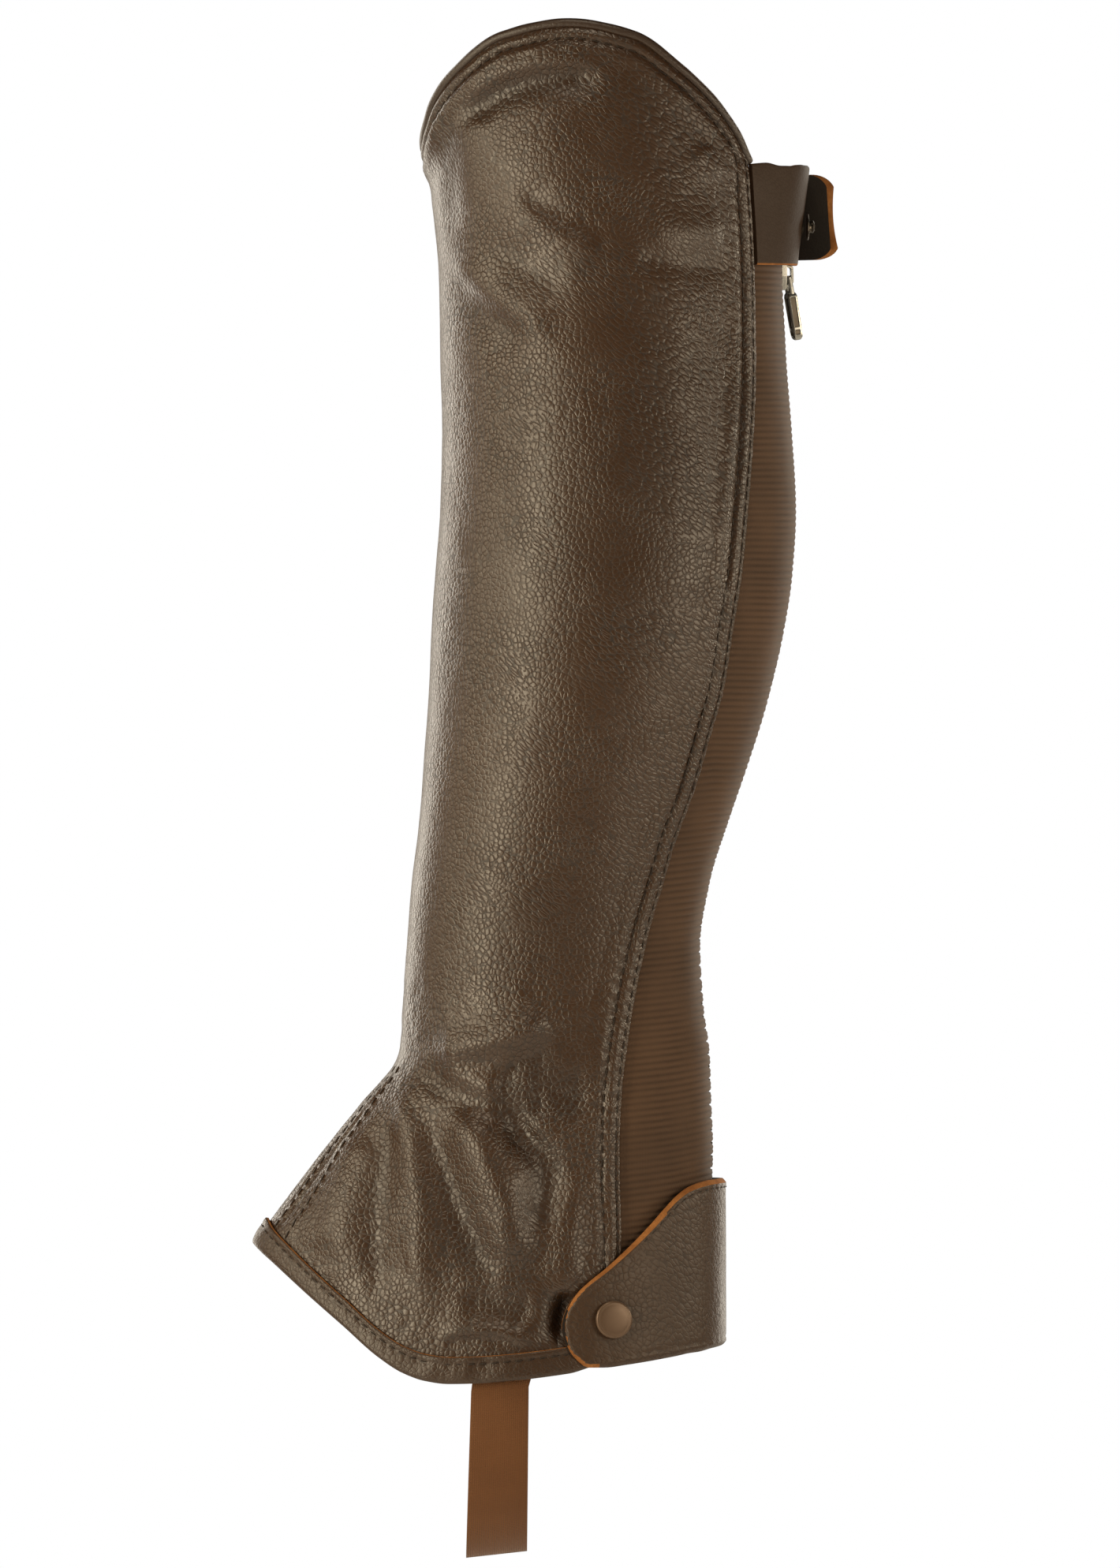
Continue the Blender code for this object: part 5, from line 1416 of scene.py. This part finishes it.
def makeToothTree():
    # a polyline becomes a row of moulded teeth, every second one turned to the other side
    tree, given, out = newTree("toothRow", [
        ("Pitch", "Float", 0.0016), ("Long", "Float", 0.003), ("Tall", "Float", 0.001),
        ("Deep", "Float", 0.002), ("Plastic", "Material", None),
    ])
    spots, upright = layAlong(tree, given)
    box = treeNode(tree, "GeometryNodeMeshCube", {"Vertices X": 3, "Vertices Y": 4, "Vertices Z": 3})
    rounded = treeNode(tree, "GeometryNodeSubdivisionSurface", {"Mesh": box.outputs["Mesh"], "Level": 1})
    feeds = {k: given.outputs[label] for k, label in enumerate(("Tall", "Long", "Deep"))}
    size = treeNode(tree, "ShaderNodeCombineXYZ", feeds)
    placed = treeNode(tree, "GeometryNodeInstanceOnPoints", {
        "Points": spots, "Instance": rounded.outputs[0], "Rotation": upright, "Scale": size.outputs[0],
    })
    number = tree.nodes.new("GeometryNodeInputIndex")
    odd = treeMaths(tree, "SUBTRACT", treeMaths(tree, "MODULO", number.outputs[0], 2.0), 0.5)
    side = treeMaths(tree, "MULTIPLY", odd, treeMaths(tree, "MULTIPLY", given.outputs["Long"], 0.62))
    moved = treeNode(tree, "ShaderNodeCombineXYZ", {"Y": side})
    shift = treeNode(tree, "GeometryNodeTranslateInstances", {
        "Instances": placed.outputs[0], "Translation": moved.outputs[0], "Local Space": True,
    })
    return endTree(tree, shift.outputs[0], given.outputs["Plastic"], out)


def makeTeeth():
    bottom = hemHeight(leg["zipFoot"]) + 1.5
    heights = np.linspace(zipper["chainTop"] - 0.8, bottom, 500)
    angles = zipAngle((leg["chainFrom"] + leg["chainTo"]) / 2, heights)
    away = outward(angles, heights)
    points = skin(angles, heights) + away * (zipper["out"] - 1.05)
    sizes = {"Pitch": "pitch", "Long": "toothLong", "Tall": "toothTall", "Deep": "toothDeep"}
    values = {label: zipper[key] * mm for label, key in sizes.items()} | {"Plastic": darkTeeth}
    piece = growOn(makeLine("teethLine", [(points, away)]), makeToothTree(), values, "zipTeeth")
    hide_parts("zip_chain")
    return piece


tapeOuter = makeTape("zipTapeOuter", "zip_tape_outer", 0.3, leg["chainFrom"] + 0.6)
tapeInner = makeTape("zipTapeInner", "zip_tape_inner", leg["chainTo"] - 0.6, leg["leatherEdge"] - 0.3)
zipTeeth = makeTeeth()


# the pull's own size, from its hinge down
pull = {
    "height": 84.5,
    "bar": (1.0, 2.45),
    "lean": 8.0,
    # distance, half width, half thickness, and 1 where its faces are sunk
    "plate": (
        (5.0, 2.3, 0.7, 0), (5.4, 2.9, 1.1, 0), (5.9, 3.15, 1.5, 0), (6.8, 3.2, 1.72, 0),
        (7.0, 3.2, 1.74, 0), (7.3, 3.2, 1.74, 1), (12.0, 3.05, 1.74, 1), (17.6, 2.8, 1.7, 1),
        (17.9, 2.78, 1.7, 0), (18.6, 2.74, 1.7, 0), (18.9, 2.72, 1.7, 1), (20.2, 2.6, 1.66, 1),
        (20.5, 2.56, 1.64, 0), (21.4, 2.35, 1.5, 0), (22.0, 2.0, 1.2, 0), (22.4, 1.4, 0.7, 0),
    ),
    "sunk": 0.5,
    # the two arms that hold the bar: distance, half width, half thickness
    "arm": ((-0.75, 0.45, 0.4), (-0.4, 0.7, 0.75), (0.4, 0.75, 0.85), (6.2, 0.75, 0.95)),
    "armsAt": (-2.4, 2.4),
    # the bar's length and roundness: place across, radius
    "barRings": ((-3.15, 0.4), (-3.0, 0.72), (3.0, 0.72), (3.15, 0.4)),
}


def makePull():
    height = np.float64(pull["height"])
    angle = zipAngle((leg["chainFrom"] + leg["chainTo"]) / 2, height)
    out = outward(angle, height)
    across = unit(np.cross([0.0, 0.0, 1.0], out))
    down = unit(np.cross(across, out))
    down = down * -np.sign(down[2])
    hinge = skin(angle, height) + down * pull["bar"][0] + out * pull["bar"][1]
    lean = math.radians(pull["lean"])
    hang, front = down * math.cos(lean) + out * math.sin(lean), out * math.cos(lean) - down * math.sin(lean)

    def ringAt(distance, spots):
        return [hinge + hang * distance + across * a + front * b for a, b in spots]

    def box(middle, wide, thick):
        corner = ((1.0, 0.6), (0.9, 0.9), (0.6, 1.0))
        quarter = [(middle + wide * a, thick * b) for a, b in corner]
        upper = quarter + [(2 * middle - a, b) for a, b in quarter[::-1]]
        return upper + [(a, -b) for a, b in upper[::-1]]

    plate = []
    for distance, wide, thick, sunk in pull["plate"]:
        deep = pull["sunk"] * sunk
        side = [
            (wide - deep, 0.0), (wide - deep, 0.5 * thick), (wide, 0.58 * thick), (wide, 0.84 * thick),
            (wide - 0.14, 0.96 * thick),
        ]
        face = [(wide - 0.4, thick), (wide - 0.8, thick), (wide - 0.95, thick - deep), (0.0, thick - deep)]
        half = side + face
        upper = half + [(-a, b) for a, b in half[::-1][1:]]
        plate.append(ringAt(distance, upper + [(a, -b) for a, b in upper[::-1][1:-1]]))
    turns = np.arange(12) * math.pi / 6
    bar = [[hinge + across * a + r * (math.cos(turn) * front + math.sin(turn) * hang) for turn in turns]
           for a, r in pull["barRings"]]
    parts = [np.array(plate), np.array(bar)]
    for middle in pull["armsAt"]:
        arm = [ringAt(distance, box(middle, wide, thick)) for distance, wide, thick in pull["arm"]]
        parts.append(np.array(arm))
    faces, count = [], 0
    for rings in parts:
        faces += tubeFaces(rings, count)
        count += rings.shape[0] * rings.shape[1]
    points = np.concatenate([rings.reshape(-1, 3) for rings in parts])
    # the sunk faces take the darker metal: painted shade in the recess
    ring = len(plate[0])
    dark = []
    for k, row in enumerate(pull["plate"][:-1]):
        if row[3] and pull["plate"][k + 1][3]:
            for j in range(ring):
                corners = points[[k * ring + j, k * ring + (j + 1) % ring]] - hinge
                wide, thick = np.abs(corners @ across).max(), np.abs(corners @ front).max()
                if thick < row[2] - pull["sunk"] + 0.05 and wide < row[1] - pull["sunk"] + 0.05:
                    dark.append(k * ring + j)
    shades = [[face for n, face in enumerate(faces) if n not in set(dark)], [faces[n] for n in dark]]
    piece = makePiece("zipPull", points, shades, [silverMetal, darkMetal], body="pull", sharpAt=35.0)
    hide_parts("zip_pull")
    return piece


def dressNode(node, look):
    # a CAD piece whose shape is right keeps it and gets a better finish
    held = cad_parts[node]
    held.data.materials.clear()
    held.data.materials.append(look)


dressNode("zip_slider", silverMetal)
zipPull = makePull()
dressNode("top_snap_stud", darkMetal)
dressNode("top_snap_socket", darkMetal)
print("zip closed")


# the two top tabs
topTab = {
    "top": 123.0, "bottom": 87.6, "end": 13.0, "out": 1.2, "thick": 1.7,
    "steps": (0.0, 0.22, 0.6, 1.2, 2.0, 2.6, 3.3),
    # a rough length that only places the columns near its end; the tab itself is about 56 long
    "endScale": 62.0,
}
openTab = {
    # start and end are distances past the back, where it would lie if it were closed flat
    "top": 120.0, "bottom": 89.6, "start": 38.0, "end": 9.0, "thick": 2.0,
    # as for the other tab; this one is about 46 long
    "endScale": 38.0,
    # its snap: share of the length, height
    "snap": (0.72, 101.5),
}


def topTabStand(share, height):
    most = 3.4 + 4.6 * (height - topTab["bottom"]) / (topTab["top"] - topTab["bottom"])
    return most * np.sin(np.clip(share / 0.74, 0, 1) * math.pi / 2) ** 1.5


def edgeDrop(gap, groove=None):
    # a cut edge is a little rounded, and a row of sewing pulls the leather in
    drop = -0.28 * np.exp(-gap / 0.3)
    if groove:
        drop = drop - 0.22 * bell(gap, groove, 0.55)
    return drop


def makeTopTab():
    tall = topTab["top"] - topTab["bottom"]
    levels = edgeShares(tall, topTab["steps"], 1.3)[:, None]
    scale = topTab["endScale"]
    across = np.concatenate([np.linspace(0, 0.93, 64), 1 - np.array(topTab["steps"][::-1]) / scale])
    # its upper edge is cut a little unevenly
    rough = 0.28 * np.sin(across * 15.0) + 0.08 * np.sin(across * 41.0 + 1.0)
    rough = rough + 0.55 * bell(across, 0.12, 0.1) - 0.5 * across
    heights = topTab["top"] - tall * levels + rough * (1 - levels) ** 2
    first = seamAngle(heights) + gusset["edgeGap"] / leg["backRadius"]
    last = anglePastBack(topTab["end"], heights)
    angles = first + (last - first) * across
    stand = topTabStand(across, heights)
    base, away = skin(angles, heights), outward(angles, heights)
    gap = np.minimum(np.minimum(levels, 1 - levels) * tall, (1 - across) * scale)
    sway = 0.16 * waves(base, 0.07, 17.0)
    outer = base + away * (topTab["out"] + stand + sway + edgeDrop(gap))[..., None]
    inner = base + away * (topTab["out"] - topTab["thick"] + stand + sway)[..., None]
    raw = bandOf(tall * (1 - levels) + 0 * across, 0.7)
    looks = [tabLeather, darkSuedeAndShade, tanEdge]
    piece = makeWall("topTabOuter", outer, inner, looks, rawBand=raw, plainSides=("first column",))
    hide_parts("top_tab_outer")
    return piece


def openTabStand(share, height):
    most = 15.6 + 2.0 * (openTab["top"] - height) / (openTab["top"] - openTab["bottom"])
    return most * np.clip((share - 0.3) / 0.7, 0, 1) ** 1.7


def openTabAngle(share, height):
    first, last = anglePastBack(openTab["start"], height), anglePastBack(openTab["end"], height)
    return first + (last - first) * share


def makeOpenTab():
    tall, scale = openTab["top"] - openTab["bottom"], openTab["endScale"]
    across = np.concatenate([np.linspace(0, 0.92, 44), 1 - np.array(topTab["steps"][-2::-1]) / scale])
    rounding = 5.5 * (1 - np.sqrt(1 - np.clip((across - 0.84) / 0.165, 0, 1) ** 2))
    levels = edgeShares(tall, topTab["steps"], 1.3)[:, None]
    heights = (openTab["top"] - rounding) * (1 - levels) + (openTab["bottom"] + rounding) * levels
    angles = openTabAngle(across, heights)
    stand = openTabStand(across, heights)
    base, away = skin(angles, heights), outward(angles, heights)
    gap = np.minimum(np.minimum(levels, 1 - levels) * tall, (1 - across) * scale)
    relief = edgeDrop(gap, 2.6)
    thick = openTab["thick"] + 0.9 * across**3 * (2 * levels - 1) ** 2
    outer = base + away * (0.3 + thick + stand + relief)[..., None]
    inner = base + away * (0.3 + stand)[..., None]
    # its back takes the darker suede copy, which paints in the shade on the open tab's inner face
    piece = makeWall("topTabInner", outer, inner, [smoothLeather, darkSuedeAndShade, tanEdge])
    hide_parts("top_tab_inner")
    return piece


heelTab = {
    # distance along the foot, top, bottom
    "outline": (
        (-19.3, -287.4, -289.4), (-18.6, -284.6, -292.6), (-16.8, -280.6, -297.2),
        (-13.7, -276.6, -300.4), (-9.5, -272.7, -302.9), (-3.9, -268.4, -302.9), (4.5, -261.0, -301.9),
        (12.9, -252.6, -300.6), (18.5, -246.4, -299.6), (22.7, -242.0, -298.8), (26.3, -239.2, -298.0),
        (30.0, -237.6, -297.5), (34.4, -236.5, -296.3),
    ),
    "top": -236.0,
    "bottom": -295.3,
    # how far past the back it reaches, on which steps, and the height at which that is measured
    "reach": 38.0,
    "steps": (0.0, 4.5, 9.0, 13.5, 18.0, 22.0, 26.0, 29.5, 32.5, 35.5),
    "middle": -265.0,
    # the snap's distance along the foot and height
    "snap": (-1.1, -286.0),
    "out": 4.3,
    "thick": 2.0,
}


snapHeight = np.float64(heelTab["snap"][1])
snapAngle = angleAtX(heelTab["snap"][0], snapHeight, heelTab["out"])


def makeHeelTab():
    rows = np.array(heelTab["outline"])
    middle = (rows[:, 1] + rows[:, 2]) / 2
    angles = list(angleAtX(rows[:, 0], middle, heelTab["out"]))
    tops, bottoms = list(rows[:, 1]), list(rows[:, 2])
    for past in (*heelTab["steps"], heelTab["reach"]):
        angles.append(float(anglePastBack(past, heelTab["middle"])))
        tops.append(heelTab["top"])
        bottoms.append(heelTab["bottom"] - past * 0.05)
    angles = np.array(angles)
    topAt, bottomAt = smoothCurve(list(zip(angles, tops))), smoothCurve(list(zip(angles, bottoms)))
    # close columns at the round tip
    tip, body = np.linspace(0, 1, 15)[:-1] ** 2 * 0.09, np.linspace(0.09, 0.985, 110)
    fine = angles[0] + (angles[-1] - angles[0]) * np.concatenate([tip, body, [0.99, 0.995, 1.0]])
    tops, bottoms = topAt(fine), bottomAt(fine)
    levels = edgeShares(60.0, (0.0, 0.25, 0.6, 1.0, 1.5, 2.4, 3.2, 4.0), 1.4)[:, None]
    heights = tops * (1 - levels) + bottoms * levels
    angles = fine + 0 * levels
    base, away = skin(angles, heights), outward(angles, heights)
    blunt = skin(np.full(20, fine[0]), np.linspace(bottoms[0], tops[0], 20))
    border = np.concatenate([skin(fine, tops), skin(fine, bottoms)[::-1], blunt])
    gap, along = pathField(border).read(base)
    tucks = np.sin(2 * math.pi * along / 4.4) * bell(gap, 2.4, 1.0)
    relief = edgeDrop(gap, 3.2) + 0.10 * tucks
    relief = relief - 1.1 * np.clip(1 - gap / 1.5, 0, 1)
    relief = relief + 0.14 * waves(base, 0.06, 41.0) - 1.7 * np.clip((-7.0 - base[..., 0]) / 12.0, 0, 1) ** 2
    # pressed in a little round the snap
    spot = skin(snapAngle, snapHeight)
    ring = np.linalg.norm(base - spot, axis=-1)
    relief = relief - 0.3 * np.exp(-((ring / 9.0) ** 4))
    outer = base + away * (heelTab["out"] + relief)[..., None]
    inner = base + away * (heelTab["out"] - heelTab["thick"])
    upper = (levels < 0.5) | (fine < fine[14])
    raw = bandOf(np.where(upper, gap, 9.0), 1.52)
    looks = [heelLeather, darkSuedeAndShade, tanEdge]
    piece = makeWall("heelTab", outer, inner, looks, rawBand=raw, plainSides=("last row",))
    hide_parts("heel_tab")
    # sewing beside the upper edge, and down the sewn end
    near = fine[np.linspace(26, len(fine) - 6, 160).astype(int)]
    line = topAt(near) - 3.0
    ways = outward(near, line)
    rows = [(skin(near, line) + ways * (heelTab["out"] - 0.12), ways)]
    levels = np.linspace(heelTab["top"] - 3.0, heelTab["bottom"] + 1.5, 60)
    end = np.full(60, float(anglePastBack(heelTab["reach"] - 3.0, heelTab["middle"])))
    ways = outward(end, levels)
    rows.append((skin(end, levels) + ways * (heelTab["out"] - 0.05), ways))
    sewing = sewRows("heelSewing", rows, pitch=4.2, long=2.9, thick=0.62, seed=11)
    return piece, sewing


topTabOuter = makeTopTab()
topTabInner = makeOpenTab()
heelTabPiece, heelSewing = makeHeelTab()
print("tabs cut")


# a snap's cap
cap = {
    "sides": 56,
    # radius, rise
    "profile": (
        (0.0, 0.0), (5.6, 0.0), (6.3, 0.25), (6.62, 0.7), (6.7, 1.1), (6.6, 1.55), (6.25, 1.9), (5.8, 2.02),
        (5.4, 1.98), (5.1, 2.06), (4.2, 2.18), (3.0, 2.27), (1.5, 2.33), (0.0, 2.35),
    ),
}


def makeCap(name, node, place, axis, look):
    axis = unit(np.asarray(axis, float))
    side = unit(np.cross(axis, [0.0, 0.0, 1.0]))
    other = np.cross(axis, side)
    sides = cap["sides"]
    turns = np.arange(sides) * 2 * math.pi / sides
    spokes = np.outer(np.cos(turns), side) + np.outer(np.sin(turns), other)
    profile = cap["profile"]
    points = [place + axis * profile[0][1]]
    for radius, rise in profile[1:-1]:
        points += list(place + axis * rise + radius * spokes)
    points.append(place + axis * profile[-1][1])
    ids = 1 + np.arange((len(profile) - 2) * sides).reshape(-1, sides)
    looped = np.concatenate([ids, ids[:, :1]], 1)
    faces = gridFaces(looped).tolist()
    last = len(points) - 1
    for k in range(sides):
        faces += [(0, looped[0, k + 1], looped[0, k]), (last, looped[-1, k], looped[-1, k + 1])]
    piece = makePiece(name, np.array(points), [faces], [look], sharpAt=60.0)
    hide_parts(node)
    return piece


snapOut = outward(snapAngle, snapHeight)
snapSeat = skin(snapAngle, snapHeight) + snapOut * (heelTab["out"] + 0.1)
heelCap = makeCap("heelSnapCap", "heel_snap_cap", snapSeat, snapOut, brownEnamel)


def openTabPlace(share, height, out):
    def at(part):
        angle = openTabAngle(part, height)
        return skin(angle, height) + outward(angle, np.float64(height)) * (out + openTabStand(part, height))

    along = unit(at(share + 0.02) - at(share - 0.02))
    return at(share), unit(np.cross([0.0, 0.0, 1.0], along))


capShare, capHeight = openTab["snap"]
capPlace, capOut = openTabPlace(capShare, np.float64(capHeight), 0.3 + openTab["thick"])
topCap = makeCap("topSnapCap", "top_snap_cap", capPlace + capOut * 0.4, capOut, brownEnamel)
print("snaps set")


# the strap under the boot
strap = {"width": 21.0, "thick": 1.6, "middle": -42.0, "lowest": -371.0, "sewn": 12.0, "columns": 25}


def makeFootStrap():
    side = np.array([0.465, 0.49, 0.5])
    widths = np.concatenate([-side[::-1], np.linspace(-0.44, 0.44, strap["columns"]), side])
    rounding = 0.35 * np.clip((np.abs(widths) - 0.465) / 0.035, 0, 1) ** 2
    sewn = np.linspace(0, 1, 12)[:-1]
    turns = np.linspace(0, math.pi, 150)
    outer, inner = [], []
    for side in (1, -1):
        rowsOut, rowsIn = [], []
        for share in sewn:
            x = strap["middle"] + widths * strap["width"] * 0.97
            height = hemHeight(x) + strap["sewn"] * (1 - share)
            widest, front = legSize["widest"](height), legSize["front"](height)
            ahead = np.clip((widest - x) / (widest - front), 0, 1) ** (legSize["frontPower"](height) / 2)
            behind = np.clip((x - widest) / (legSize["back"](height) - widest), 0, 1)
            angle = side * np.where(x < widest, np.arccos(ahead), math.pi / 2 + np.arcsin(behind))
            base, away = skin(angle, height), outward(angle, height)
            rowsOut.append(base + away * (-leather["thick"] - 0.3 - rounding)[..., None])
            rowsIn.append(base + away * (-leather["thick"] - 0.3 - strap["thick"] + rounding)[..., None])
        outer.append(rowsOut)
        inner.append(rowsIn)

    def loop(start, end, thin):
        rows = []
        for turn in turns:
            share = (1 - math.cos(turn)) / 2
            drop = math.sin(turn) ** 0.9
            x = strap["middle"] + widths * strap["width"] * (0.97 + 0.06 * drop) - 1.2 * drop
            y = start[:, 1] * (1 - share) + end[:, 1] * share
            hem = start[:, 2] * (1 - share) + end[:, 2] * share
            lowest = strap["lowest"] + thin + 2.4 * (widths + 0.5)
            z = hem - 4.0 + (lowest - hem + 4.0) * drop
            rows.append(np.stack([x, y, z], -1))
        return rows

    allOut = np.array(outer[0] + loop(outer[0][-1], outer[1][-1], 0.0) + outer[1][::-1])
    allIn = np.array(inner[0] + loop(inner[0][-1], inner[1][-1], strap["thick"]) + inner[1][::-1])
    # the weave follows the strap's width and its length along the middle
    steps = np.linalg.norm(np.diff(allOut[:, len(widths) // 2], axis=0), axis=1)
    along = np.concatenate([[0], np.cumsum(steps)]) * mm
    piece = makeWall("footStrap", allOut, allIn, [strapWeb, strapWeb, strapWeb], sharpAt=60.0)
    uv = np.stack(np.broadcast_arrays(widths * strap["width"] * mm, along[:, None]), -1).reshape(-1, 2)
    addUv(piece, np.concatenate([uv, uv]))
    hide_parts("foot_strap")
    return piece


footStrap = makeFootStrap()
print("strap looped")
